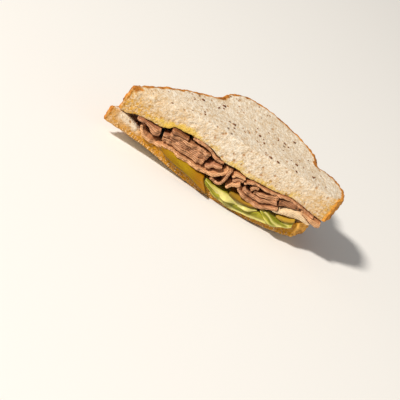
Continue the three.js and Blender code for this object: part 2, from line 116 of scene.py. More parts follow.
def hermite(t: Number, start: Number, end: Number, leaving: Number, arriving: Number) -> Number:
    """Returns the cubic from start to end at t from 0 to 1, with the slopes at its two ends."""
    return ((2 * t**3 - 3 * t**2 + 1) * start + (t**3 - 2 * t**2 + t) * leaving
            + (3 * t**2 - 2 * t**3) * end + (t**3 - t**2) * arriving)


@dataclass(frozen=True)
class Profile:
    """A smooth value along x through [x, value] pairs, flat beyond its ends."""

    pairs: Pairs

    def __call__(self, x: Number) -> np.ndarray:
        """Reads the profile.

        Args:
            x: Where to read it.

        Returns:
            The value at each x.
        """
        places, values = np.array(self.pairs, float).T
        slopes = np.empty_like(values)
        slopes[1:-1] = (values[2:] - values[:-2]) / (places[2:] - places[:-2])
        slopes[0] = (values[1] - values[0]) / (places[1] - places[0])
        slopes[-1] = (values[-1] - values[-2]) / (places[-1] - places[-2])
        at = np.clip(np.asarray(x, float), places[0], places[-1])
        i = np.clip(np.searchsorted(places, at, side="right") - 1, 0, len(places) - 2)
        span = places[i + 1] - places[i]
        leaving, arriving = span * slopes[i], span * slopes[i + 1]
        return hermite((at - places[i]) / span, values[i], values[i + 1], leaving, arriving)


def smooth_curve(pairs: Pairs, count: int) -> np.ndarray:
    """Spaces points evenly along a smooth curve.

    Args:
        pairs: The points that the curve goes through.
        count: How many points to return.

    Returns:
        The points as rows of two numbers.
    """
    knots = np.array(pairs, float)
    knots = np.vstack([2 * knots[0] - knots[1], knots, 2 * knots[-1] - knots[-2]])
    t = np.linspace(0, 1, 40, endpoint=False)[:, None]
    parts = []
    for a, b, c, d in zip(knots, knots[1:], knots[2:], knots[3:]):
        ab, bc, cd = (max(1e-4, float(np.linalg.norm(q - p))) ** 0.5 for p, q in ((a, b), (b, c), (c, d)))
        leaving = ((b - a) / ab - (c - a) / (ab + bc) + (c - b) / bc) * bc
        arriving = ((c - b) / bc - (d - b) / (bc + cd) + (d - c) / cd) * bc
        parts.append(hermite(t, b, c, leaving, arriving))
    dense = np.vstack([*parts, knots[-2][None]])
    run = np.concatenate([[0], np.cumsum(np.linalg.norm(np.diff(dense, axis=0), axis=1))])
    even = np.linspace(0, run[-1], count)
    return np.column_stack([np.interp(even, run, dense[:, 0]), np.interp(even, run, dense[:, 1])])


def read_along(rows: np.ndarray, share: np.ndarray) -> list[np.ndarray]:
    """Returns each column of evenly spaced rows, read at shares of the way along them."""
    steps = np.linspace(0, 1, len(rows))
    return [np.interp(share, steps, column) for column in rows.T]


# ---- the surfaces that the layers follow --------------------------------------------------
class Layers:
    """Heights of the bread's faces, in millimetres, and the map that carries the filling back."""

    OUTLINE: ClassVar[Pairs] = ((-75.9, 1.9), (-62, 17.4), (-44, 35), (-30, 47.5), (-21.5, 54.5),
        (-18.4, 58.4), (-16.6, 64), (-12.6, 71.6), (-7, 77.8), (0, 81.2), (9, 82.4), (19, 80.8), (29, 76.2),
        (39, 70), (48.3, 61.4), (54.4, 52.2), (56.2, 43.8), (55.4, 38.6), (60.4, 37.4), (67, 34.4),
        (72.4, 28.6), (75.4, 21), (75.6, 13), (74.4, 6.4))
    LOWER_FACE: ClassVar[Profile] = Profile(((-82, 8.2), (-70, 7.9), (-58, 7.3), (-48, 6.4), (-38, 4.8),
        (-28, 3), (-18, 1.4), (-9, 0.4), (-3, 0), (22, 0), (30, 0.6), (40, 2), (50, 3.8), (57, 5.6),
        (62, 7.8), (68, 11.6)))
    LOWER_TOP: ClassVar[Profile] = Profile(((-84, 18.2), (-76, 18.6), (-70, 18.6), (-64, 16.8), (-58, 14.4),
        (-50, 12.3), (-40, 11.8), (-30, 10.8), (-20, 9.7), (-10, 8.5), (0, 7.4), (10, 7.2), (20, 7.6),
        (28, 8.3), (36, 9.2), (44, 10.9), (50, 12.7), (55, 15), (58, 17.4), (61, 19.4), (66, 20.6), (76, 21)))
    UPPER_UNDERSIDE: ClassVar[Profile] = Profile(((-84, 19.2), (-76, 19.4), (-70, 19.8), (-66, 21.6),
        (-62, 22.7), (-55, 23.5), (-47, 23.9), (-43.5, 25.4), (-40, 28.6), (-34, 29.2), (-27, 29.6),
        (-20, 30), (-14, 29.3), (-8, 27.2), (-2, 26), (6, 26.4), (14, 25.4), (22, 26.4), (30, 26.8),
        (36, 27.6), (44, 29.2), (50, 29), (58, 27.8), (66, 26.8), (80, 26.2)))
    UPPER_TOP: ClassVar[Profile] = Profile(((-80, 36.4), (-70, 37.6), (-50, 39.8), (-20, 43), (10, 43.2),
        (45, 44.4), (80, 43.2)))
    BACK_UNDERSIDE: ClassVar[Profile] = Profile(((-80, 21.6), (-60, 23.4), (-18, 24), (20, 25), (60, 25.6),
        (80, 26.2)))
    BACK_TOP: ClassVar[Profile] = Profile(((-80, 37.4), (-60, 39.2), (-18, 39.8), (-6, 40.6), (16, 41.2),
        (40, 41.2), (60, 42), (80, 43)))

    def __init__(self) -> None:
        """Measures the crust's depth along the cut once."""
        curve = smooth_curve(self.OUTLINE, 400)
        self.stations = np.arange(-84, 84.1, 0.25)
        self.depths = np.zeros_like(self.stations)
        for (x0, y0), (x1, y1) in zip(curve, curve[1:]):
            low, high = min(x0, x1), max(x0, x1)
            inside = (self.stations >= low) & (self.stations <= high) & (high > low)
            share = (self.stations - x0) / (x1 - x0 if high > low else 1)
            self.depths = np.where(inside, np.maximum(self.depths, y0 + (y1 - y0) * share), self.depths)

    def crust_depth(self, x: Number) -> Number:
        """Returns the depth of the crust behind the cut at x."""
        return np.interp(x, self.stations, self.depths, left=0, right=0)

    def rim(self, x: Number, y: Number) -> Number:
        """Returns how much thicker a slice is near its crust, away from the cut and the narrow corner."""
        even = (self.crust_depth(x - 5) + 2 * self.crust_depth(x) + self.crust_depth(x + 5)) / 4
        return CRUST_RIM * fall(even - y, 0, RIM_REACH) * rise(x, -74, 12) * rise(y, 0, 10)

    def lower_face(self, x: Number, y: Number) -> Number:
        """Returns the height of the lower slice's underside."""
        return np.maximum(0, self.LOWER_FACE(x)) * fall(y, 0, LIFT_REACH)

    def lower_top(self, x: Number, y: Number) -> Number:
        """Returns the height of the face that the filling lies on."""
        return lerp(self.LOWER_TOP(x), BACK_BREAD, rise(y, 0, BACK_DEPTH)) + self.rim(x, y)

    def upper_underside(self, x: Number, y: Number) -> Number:
        """Returns the height of the upper slice's underside."""
        return lerp(self.UPPER_UNDERSIDE(x), self.BACK_UNDERSIDE(x), rise(y, 0, BACK_DEPTH)) - self.rim(x, y)

    def upper_top(self, x: Number, y: Number) -> Number:
        """Returns the height of the sandwich's top face."""
        return lerp(self.UPPER_TOP(x), self.BACK_TOP(x), rise(y, 0, BACK_DEPTH))

    def carried(self, x: Number, y: Number, z: Number) -> Number:
        """Carries a filling point back into the sandwich.

        Args:
            x: Place along the cut.
            y: Depth behind the cut.
            z: Height at which the cut shows the point.

        Returns:
            The point's height at depth y.
        """
        share = (z - self.LOWER_TOP(x)) / (self.UPPER_UNDERSIDE(x) - self.LOWER_TOP(x))
        return lerp(self.lower_top(x, y), self.upper_underside(x, y), share)


LAYERS = Layers()


# ---- shader maths -------------------------------------------------------------------------
class Expr:
    """A shader socket that takes part in Python arithmetic."""

    def __init__(self, kit: "NodeKit", socket: bpy.types.NodeSocket) -> None:
        """Keeps the node kit and the socket."""
        self.kit = kit
        self.socket = socket

    def __add__(self, other: "Expr | float") -> "Expr":
        """Returns the sum."""
        return self.kit.math("ADD", self, other)

    def __sub__(self, other: "Expr | float") -> "Expr":
        """Returns the difference."""
        return self.kit.math("SUBTRACT", self, other)

    def __rsub__(self, other: float) -> "Expr":
        """Returns the difference from a number."""
        return self.kit.math("SUBTRACT", other, self)

    def __mul__(self, other: "Expr | float") -> "Expr":
        """Returns the product."""
        return self.kit.math("MULTIPLY", self, other)

    __radd__ = __add__
    __rmul__ = __mul__

    def clamped(self) -> "Expr":
        """Returns the value kept between 0 and 1."""
        return self.kit.math("ADD", self, 0.0, clamp=True)

    def between(self, low: float, high: float) -> "Expr":
        """Returns the smooth step from low to high."""
        return self.kit.out("ShaderNodeMapRange", {"Value": self, "From Min": low, "From Max": high},
                            interpolation_type="SMOOTHSTEP")


class NodeKit:
    """Adds the nodes of one material."""

    def __init__(self, name: str) -> None:
        """Starts an empty material.

        Args:
            name: The material's name.
        """
        self.material = bpy.data.materials.new(name)
        self.material.use_nodes = True
        self.tree = self.material.node_tree
        self.tree.nodes.clear()

    def node(self, kind: str, inputs: dict, **settings: object) -> bpy.types.Node:
        """Adds a node.

        Args:
            kind: The node's type.
            inputs: Values or links of its sockets, by name or number.
            **settings: The node's own settings, set first.

        Returns:
            The node.
        """
        made = self.tree.nodes.new(kind)
        for key, setting in settings.items():
            setattr(made, key, setting)
        for key, given in inputs.items():
            if isinstance(given, Expr):
                self.tree.links.new(given.socket, made.inputs[key])
            else:
                made.inputs[key].default_value = given
        return made

    def out(self, kind: str, inputs: dict, output: int | str = 0, **settings: object) -> Expr:
        """Adds a node and returns one of its outputs."""
        return Expr(self, self.node(kind, inputs, **settings).outputs[output])

    def math(self, operation: str, first: Expr | float, second: Expr | float, clamp: bool = False) -> Expr:
        """Returns a Math node's value."""
        return self.out("ShaderNodeMath", {0: first, 1: second}, operation=operation, use_clamp=clamp)

    def place(self, stretch: Triple = (1, 1, 1), on: str = "Object") -> Expr:
        """Returns the place on the object, in metres, or on its own UV map, stretched."""
        here = self.out("ShaderNodeTexCoord", {}, on)
        return self.out("ShaderNodeVectorMath", {0: here, 1: stretch}, operation="MULTIPLY")

    def attribute(self, name: str) -> Expr:
        """Returns a mesh attribute's number."""
        return self.out("ShaderNodeAttribute", {}, "Fac", attribute_name=name)

    def noise(self, at: Expr, scale: float, detail: float = 2.0, roughness: float = 0.5) -> Expr:
        """Returns smooth noise from 0 to 1."""
        return self.out("ShaderNodeTexNoise",
                        {"Vector": at, "Scale": scale, "Detail": detail, "Roughness": roughness})

    def cells(self, at: Expr, scale: float) -> Expr:
        """Returns the distance to the nearest of scattered points."""
        return self.out("ShaderNodeTexVoronoi", {"Vector": at, "Scale": scale}, "Distance")

    def mix(self, share: Expr | float, first: Expr | Colour, second: Expr | Colour) -> Expr:
        """Returns the mix of two colours, with that share of the second."""
        return self.out("ShaderNodeMix", {0: share, 6: first, 7: second}, 2, data_type="RGBA")

    def bump(self, height: Expr, depth: float) -> Expr:
        """Returns a normal that is tilted by a height of that depth, in millimetres."""
        return self.out("ShaderNodeBump", {"Height": height, "Distance": depth / METRE, "Strength": 1.0})

    def surface(self, inputs: dict) -> bpy.types.Material:
        """Ends the material with a Principled surface.

        Args:
            inputs: Values or links of the surface's sockets.

        Returns:
            The material.
        """
        self.node("ShaderNodeOutputMaterial", {"Surface": self.out("ShaderNodeBsdfPrincipled", inputs)})
        return self.material


# ---- finishes -----------------------------------------------------------------------------
@dataclass(frozen=True)
class BreadFinish:
    """Soft open crumb with bran, a baked crust, and what the filling leaves on it; with painted light on the
    crust near the right end of the cut, and painted shade on the left end wall and in the hollows behind the
    cut.
    """

    name: str
    toasted: float
    toast: Colour
    crumb: Colour = srgb(243, 231, 211)
    crumb_low: Colour = srgb(206, 176, 136)
    tan: Colour = srgb(172, 116, 60)
    bran: Colour = srgb(96, 56, 30)
    mustard: Colour = srgb(232, 194, 80)
    # brown of real scorch marks and soaked mustard, also the colour of the painted shade on the left end wall
    stain: Colour = srgb(158, 98, 34)
    crust: Colour = srgb(216, 140, 54)
    crust_dark: Colour = srgb(138, 76, 26)
    # painted light: the brighter crust near the right end of the cut
    crust_gold: Colour = srgb(246, 170, 66)
    # painted shade in the hollows between the bread and the filling
    juice: Colour = srgb(92, 42, 14)
    full_toast: ClassVar[float] = 1.15

    def build(self) -> bpy.types.Material:
        """Makes the material.

        Returns:
            A material that reads the bread's attributes for crust, toast and mustard, for painted light on
            the crust, for painted shade on the left end wall and for painted shade in the hollows behind the
            cut.
        """
        kit = NodeKit(self.name)
        here = kit.place((1, 0.6, 1))
        crust, toast, mustard = (kit.attribute(name) for name in ("crust", "toast", "mustard"))
        cloud = kit.noise(here, 110, 3)
        grain = kit.noise(here, 820, 2, 0.6).between(0.32, 0.68)
        patch = kit.noise(here, 360, 3, 0.6).between(0.32, 0.68)
        rough = kit.noise(here, 560, 3, 0.7).between(0.34, 0.66)
        scorch = kit.noise(here, 760, 2, 0.6).between(0.58, 0.7)
        chance = kit.noise(here, 170, 1, 0.3)
        hollow = 1 - kit.cells(here, 560).between(0.06, 0.34)
        tan = (1 - kit.cells(here, 240).between(0.12, 0.3)) * chance.between(0.44, 0.52)
        bran = (1 - kit.cells(here, 130).between(0.09, 0.17)) * (1 - chance.between(0.4, 0.46))
        light = (grain * 0.55 + patch * 0.5 + cloud * 0.5 - 0.22).clamped()
        colour = kit.mix(light, self.crumb_low, self.crumb)
        colour = kit.mix((hollow * 0.2 + tan * 0.75).clamped(), colour, self.tan)
        colour = kit.mix(bran * 0.8, colour, self.bran)
        uneven = toast * (self.toasted + (self.full_toast - self.toasted) * rough)
        colour = kit.mix(uneven.clamped(), colour, self.toast)
        colour = kit.mix((toast * (scorch * 0.7 + hollow * 0.5)).clamped(), colour, self.stain)
        # painted shade on the left end wall
        colour = kit.mix(kit.attribute("browned") * (0.35 + 0.5 * rough), colour, self.stain)
        smear = (mustard * 1.6 - patch * 0.6 - grain * 0.2).clamped()
        colour = kit.mix(smear * 0.85, colour, self.mustard)
        soaked = (mustard * (tan + bran + 0.5 * hollow + 0.4 * scorch)).clamped()
        colour = kit.mix(soaked * 0.75, colour, self.stain)
        # painted shade in the hollows behind the cut, darker deeper in
        colour = kit.mix(kit.attribute("inner") * 0.94, colour, self.juice)
        colour = kit.mix((crust * 1.6).clamped() * 0.55, colour, self.toast)
        baked = kit.noise(here, 520, 5, 0.6)
        browning = (baked * 1.1 + cloud * 0.9 - 0.5).clamped().between(0.2, 0.75)
        bark = kit.mix(browning, self.crust_dark, self.crust)
        bark = kit.mix(scorch * 0.5, bark, self.crust_dark)
        # painted light on the crust near the right end of the cut
        bark = kit.mix((kit.attribute("golden") * (0.25 + 0.75 * browning)).clamped(), bark, self.crust_gold)
        edge = (crust * 1.15 + (patch - 0.5) * 0.5 * crust).clamped().between(0.25, 0.85)
        height = grain * 0.5 - hollow * 0.5 - tan * 0.6 + baked * edge
        return kit.surface({"Base Color": kit.mix(edge, colour, bark),
                            "Roughness": 0.92 - 0.3 * edge - 0.2 * mustard,
                            "Specular IOR Level": 0.16, "Normal": kit.bump(height, 0.3)})


class BeefTone(Enum):
    """How a slice of beef is coloured: how far it is cooked, and for LIGHT and BROWN partly painted light and
    painted shade, as lighter and darker copies of the lean for slices that stand in more or less light.
    """

    COOKED = "cooked"
    ROSY = "rosy"
    LIGHT = "light"
    BROWN = "brown"
    PALE = "pale"


# the cut edge colour is paler partly as painted highlight; LIGHT and BROWN are partly lit and shaded copies
# of the lean
BEEF_COLOURS: dict[BeefTone, tuple[Colour, Colour, Colour]] = {  # lean, dark lean and cut edge
    BeefTone.COOKED: (srgb(190, 131, 88), srgb(122, 70, 42), srgb(218, 162, 116)),
    BeefTone.ROSY: (srgb(188, 127, 89), srgb(120, 69, 44), srgb(212, 156, 112)),
    BeefTone.LIGHT: (srgb(215, 155, 106), srgb(156, 98, 59), srgb(234, 180, 129)),
    BeefTone.BROWN: (srgb(150, 96, 60), srgb(100, 56, 32), srgb(176, 120, 80)),
    BeefTone.PALE: (srgb(232, 202, 158), srgb(216, 180, 136), srgb(240, 210, 168)),
}


@dataclass(frozen=True)
class BeefFinish:
    """Thin cooked beef: mottled lean, short fibres, a paler cut edge that is partly painted highlight, and
    painted shade deep in the folds behind the cut edge and along the seams between plies.
    """

    name: str
    lean: Colour
    lean_dark: Colour
    edge: Colour
    # painted shade: the colour of the hollows behind the cut edge and of the seams between plies
    fold: Colour = srgb(58, 24, 8)

    @classmethod
    def of(cls, tone: BeefTone) -> "BeefFinish":
        """Returns the finish of a tone."""
        return cls("roast_beef_" + tone.value, *BEEF_COLOURS[tone])

    def build(self) -> bpy.types.Material:
        """Makes the material.

        Returns:
            A material that reads the slice's UV map and its edge, inner and seam attributes; inner and seam
            mark painted shade.
        """
        kit = NodeKit(self.name)
        flat = kit.place(on="UV")
        edge, inner, seam = (kit.attribute(name) for name in ("edge", "inner", "seam"))
        mottle = kit.noise(flat, 2.2, 4, 0.6)
        fibre = kit.noise(kit.place((9, 2.2, 1), "UV"), 1.6, 3, 0.6)
        speck = kit.noise(flat, 11, 2, 0.5)
        pit = kit.noise(kit.place(), 900, 2, 0.6).between(0.56, 0.7)
        strand = kit.out("ShaderNodeTexWave", {"Vector": kit.place((0.2, 0.2, 1)), "Scale": 270.0,
                                               "Distortion": 3.5, "Detail": 2.0, "Detail Scale": 1.5},
                         bands_direction="Z")
        colour = kit.mix((mottle * 1.3 + fibre * 0.9 - 0.55).clamped(), self.lean_dark, self.lean)
        colour = kit.mix(speck.between(0.62, 0.72) * 0.4, colour, self.edge)
        # paler cut edge with strands: partly the meat's grain, partly painted highlight
        colour = kit.mix(edge * (0.05 + 0.85 * strand + 0.4 * mottle).clamped(), colour, self.edge)
        colour = kit.mix(pit * 0.4, colour, self.lean_dark)
        # painted shade in the hollows behind the cut edge and along the seams
        colour = kit.mix((inner * 0.96 + seam * 0.6).clamped(), colour, self.fold)
        height = fibre * 0.6 + mottle * 0.5 + strand * edge * 0.6 - pit * 0.5
        return kit.surface({"Base Color": colour, "Roughness": 0.36 + 0.3 * mottle, "Specular IOR Level": 0.3,
                            "Coat Weight": 0.16 * (1 - inner), "Coat Roughness": 0.22,
                            "Normal": kit.bump(height, 0.45)})


@dataclass(frozen=True)
class LeafFinish:
    """Thin lettuce: pale ribs, a brighter blade and a darker margin, with painted shadow along folds and
    under another leaf's rim, and a painted highlight along its rim.
    """

    name: str = "lettuce_leaf"
    rib: Colour = srgb(226, 214, 132)
    blade: Colour = srgb(178, 166, 46)
    margin: Colour = srgb(136, 136, 22)
    # painted shadow: the green of the shade along folds and under another leaf's rim
    deep: Colour = srgb(92, 92, 6)

    def build(self) -> bpy.types.Material:
        """Makes the material.

        Returns:
            A material that reads the leaf's UV map and its pale, rib and edge attributes, and the attribute
            of its painted shadow lines.
        """
        kit = NodeKit(self.name)
        flat = kit.place(on="UV")
        tone = kit.noise(flat, 1.1, 3, 0.5)
        colour = kit.mix(tone.between(0.3, 0.7), self.margin, self.blade)
        colour = kit.mix(kit.attribute("pale") * 0.85, colour, self.rib)
        # painted shadow along folds and under another leaf's rim
        colour = kit.mix(kit.attribute("crease") * 0.62, colour, self.deep)
        colour = kit.mix(kit.attribute("rib") * 0.7, colour, self.rib)
        # painted highlight along the leaf's rim
        colour = kit.mix((kit.attribute("edge") * (0.3 + 0.7 * tone)).clamped() * 0.8, colour, self.rib)
        height = tone * 0.8 + kit.cells(flat, 4.2) * 0.3
        return kit.surface({"Base Color": colour, "Roughness": 0.3 + 0.2 * tone, "Subsurface Weight": 0.12,
                            "Subsurface Radius": (0.6, 1.0, 0.2), "Subsurface Scale": 0.0015,
                            "Specular IOR Level": 0.3, "Coat Weight": 0.1, "Coat Roughness": 0.2,
                            "Normal": kit.bump(height, 0.35)})


@dataclass(frozen=True)
class PickleFinish:
    """A slice of pickled cucumber: translucent flesh, darker skin, a browner end, wet, with painted shade on
    the part that hangs over the edge.
    """

    name: str = "pickle_slice"
    flesh: Colour = srgb(180, 150, 8)
    flesh_low: Colour = srgb(130, 98, 0)
    skin: Colour = srgb(96, 72, 4)
    brown: Colour = srgb(164, 110, 8)

    def build(self) -> bpy.types.Material:
        """Makes the material.

        Returns:
            A material that reads the slice's UV map and its edge, low and brown attributes; low marks painted
            shade where the slice hangs.
        """
        kit = NodeKit(self.name)
        streak = kit.noise(kit.place((0.35, 3.4, 1), "UV"), 1.6, 4, 0.55)
        seed = 1 - kit.cells(kit.place((1.6, 0.9, 1), "UV"), 2.2).between(0.05, 0.3)
        # painted shade: darker flesh where the slice hangs over the edge
        lit = (streak.between(0.34, 0.66) * 0.7 + 0.6 - 0.8 * kit.attribute("low")).clamped()
        colour = kit.mix(lit, self.flesh_low, self.flesh)
        colour = kit.mix(seed * 0.25, colour, self.flesh_low)
        colour = kit.mix((kit.attribute("brown") * (0.6 + 0.8 * streak)).clamped(), colour, self.brown)
        colour = kit.mix(kit.attribute("edge") * 0.75, colour, self.skin)
        return kit.surface({"Base Color": colour, "Roughness": 0.2 + 0.18 * streak, "Subsurface Weight": 0.1,
                            "Subsurface Radius": (1.0, 0.8, 0.2), "Subsurface Scale": 0.002,
                            "Specular IOR Level": 0.3, "Coat Weight": 0.16, "Coat Roughness": 0.12,
                            "Normal": kit.bump(streak, 0.3)})


@dataclass(frozen=True)
class FlakeFinish:
    """Bran in the crumb, or loose crumbs: one hue with lighter and darker sides."""

    name: str
    dark: Colour
    light: Colour

    def build(self) -> bpy.types.Material:
        """Makes the material.

        Returns:
            A material that reads the place on the object.
        """
        kit = NodeKit(self.name)
        tone = kit.noise(kit.place(), 900, 3, 0.6)
        return kit.surface({"Base Color": kit.mix(tone.between(0.35, 0.65), self.dark, self.light),
                            "Roughness": 0.7 + 0.2 * tone, "Normal": kit.bump(tone, 0.2)})


@dataclass(frozen=True)
class FloorFinish:
    """Plain pale studio floor, matt and faintly uneven."""

    name: str = "studio_floor"
    pale: Colour = srgb(246, 243, 238)

    def build(self) -> bpy.types.Material:
        """Makes the material.

        Returns:
            A material that reads the place on the floor.
        """
        kit = NodeKit(self.name)
        roughness = 0.75 + 0.1 * kit.noise(kit.place(), 3, 1)
        return kit.surface({"Base Color": self.pale, "Roughness": roughness, "Specular IOR Level": 0.2})


# ---- hand modelling -----------------------------------------------------------------------
def deselect_all() -> None:
    """Leaves nothing selected, so that an operator acts on the new piece alone."""
    if bpy.context.mode != "OBJECT":
        bpy.ops.object.mode_set(mode="OBJECT")
    bpy.ops.object.select_all(action="DESELECT")


def pick(pieces: list[bpy.types.Object]) -> None:
    """Selects some pieces and nothing else.

    Args:
        pieces: The pieces, the active one first.
    """
    deselect_all()
    for piece in pieces:
        piece.select_set(True)
    bpy.context.view_layer.objects.active = pieces[0]


def dress(piece: bpy.types.Object, name: str, material: bpy.types.Material) -> bpy.types.Object:
    """Names a finished piece, dresses it and lets it ride on the sandwich's body.

    Args:
        piece: The piece.
        name: Its name.
        material: Its finish.

    Returns:
        The piece.
    """
    piece.name = name
    piece.data.name = name
    piece.data.materials.clear()
    piece.data.materials.append(material)
    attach(piece, "root")
    return piece


class Slab:
    """A slab that starts as a grid, is extruded to a thickness, and then laid into its place."""

    def __init__(self, columns: int, rows: int, wall_cuts: int) -> None:
        """Models the plain slab.

        Args:
            columns: Cells along the slab.
            rows: Cells from its front to its back.
            wall_cuts: Cuts round its wall, between its two faces.
        """
        deselect_all()
        bpy.ops.mesh.primitive_grid_add(x_subdivisions=columns, y_subdivisions=rows, size=1)
        self.piece = bpy.context.active_object
        bpy.ops.object.mode_set(mode="EDIT")
        bpy.ops.mesh.select_all(action="SELECT")
        bpy.ops.mesh.extrude_region_move(TRANSFORM_OT_translate={"value": (0, 0, 1)})
        bpy.ops.mesh.select_all(action="DESELECT")
        bpy.ops.mesh.select_mode(type="EDGE")
        bpy.ops.object.mode_set(mode="OBJECT")
        mesh = self.piece.data
        heights = self.read("co")[:, 2]
        ends = np.zeros(len(mesh.edges) * 2, np.int32)
        mesh.edges.foreach_get("vertices", ends)
        climbs = np.abs(heights[ends[::2]] - heights[ends[1::2]]) > 0.5
        mesh.edges.foreach_set("select", climbs)
        bpy.ops.object.mode_set(mode="EDIT")
        bpy.ops.mesh.subdivide(number_cuts=wall_cuts)
        bpy.ops.mesh.select_all(action="SELECT")
        bpy.ops.mesh.normals_make_consistent(inside=False)
        bpy.ops.object.mode_set(mode="OBJECT")
        self.unit = self.read("co") + np.array([0.5, 0.5, 0])

    def read(self, what: str) -> np.ndarray:
        """Reads the mesh.

        Args:
            what: "co" for the vertices' places, "normal" for their normals.

        Returns:
            The places or normals as rows.
        """
        mesh = self.piece.data
        values = np.zeros(len(mesh.vertices) * 3, np.float32)
        if what == "co":
            mesh.vertices.foreach_get("co", values)
        else:
            mesh.vertex_normals.foreach_get("vector", values)
        return values.reshape(-1, 3).astype(float)

    def lay(self, points: np.ndarray) -> None:
        """Lays the slab's vertices.

        Args:
            points: Where they lie, in millimetres in the cut's frame.
        """
        placed = (points + ORIGIN_SHIFT) / METRE
        self.piece.data.vertices.foreach_set("co", placed.astype(np.float32).ravel())
        self.piece.data.update()

    def points(self) -> np.ndarray:
        """Returns the vertices in millimetres in the cut's frame."""
        return self.read("co") * METRE - ORIGIN_SHIFT

    def push(self, heights: np.ndarray) -> None:
        """Pushes each vertex out along its normal, in millimetres."""
        self.lay(self.points() + self.read("normal") * heights[:, None])

    def mark(self, **values: np.ndarray) -> None:
        """Keeps numbers on the vertices, which the finish reads.

        Args:
            **values: One number from 0 to 1 for each vertex, by the attribute's name.
        """
        for name, numbers in values.items():
            layer = self.piece.data.attributes.new(name, "FLOAT", "POINT")
            layer.data.foreach_set("value", np.clip(numbers, 0, 1).astype(np.float32))

    def unroll(self, across: np.ndarray, along: np.ndarray) -> None:
        """Lays the UV map out, in centimetres.

        Args:
            across: One length for each vertex, in millimetres.
            along: The other length.
        """
        mesh = self.piece.data
        vertex_of = np.zeros(len(mesh.loops), np.int32)
        mesh.loops.foreach_get("vertex_index", vertex_of)
        uv = np.column_stack([across[vertex_of], along[vertex_of]]) / 10
        mesh.uv_layers.active.data.foreach_set("uv", uv.astype(np.float32).ravel())

    def soften(self) -> None:
        """Subdivides the slab once, into a smooth surface."""
        modifier = self.piece.modifiers.new("Subsurf", "SUBSURF")
        modifier.levels = 1
        modifier.render_levels = 1
        bpy.ops.object.modifier_apply(modifier=modifier.name)

    def finish(self, name: str, material: bpy.types.Material, node: str, slot: str,
               angle: float = 180) -> bpy.types.Object:
        """Dresses the slab and puts it in its CAD node's place.

        Args:
            name: The piece's name.
            material: Its finish.
            node: The CAD node that it stands for.
            slot: The record's material slot; not used.
            angle: Edges sharper than this, in degrees, stay sharp.

        Returns:
            The finished piece.
        """
        pick([self.piece])
        bpy.ops.object.shade_smooth_by_angle(angle=math.radians(angle))
        dress(self.piece, name, material)
        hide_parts(node)
        return self.piece


# ---- bread --------------------------------------------------------------------------------
@dataclass(frozen=True)
class Survey:
    """What the bread's crust and stains depend on, for each vertex of a laid slice."""

    points: np.ndarray
    w: np.ndarray
    above: np.ndarray
    distance: np.ndarray
    wander: np.ndarray


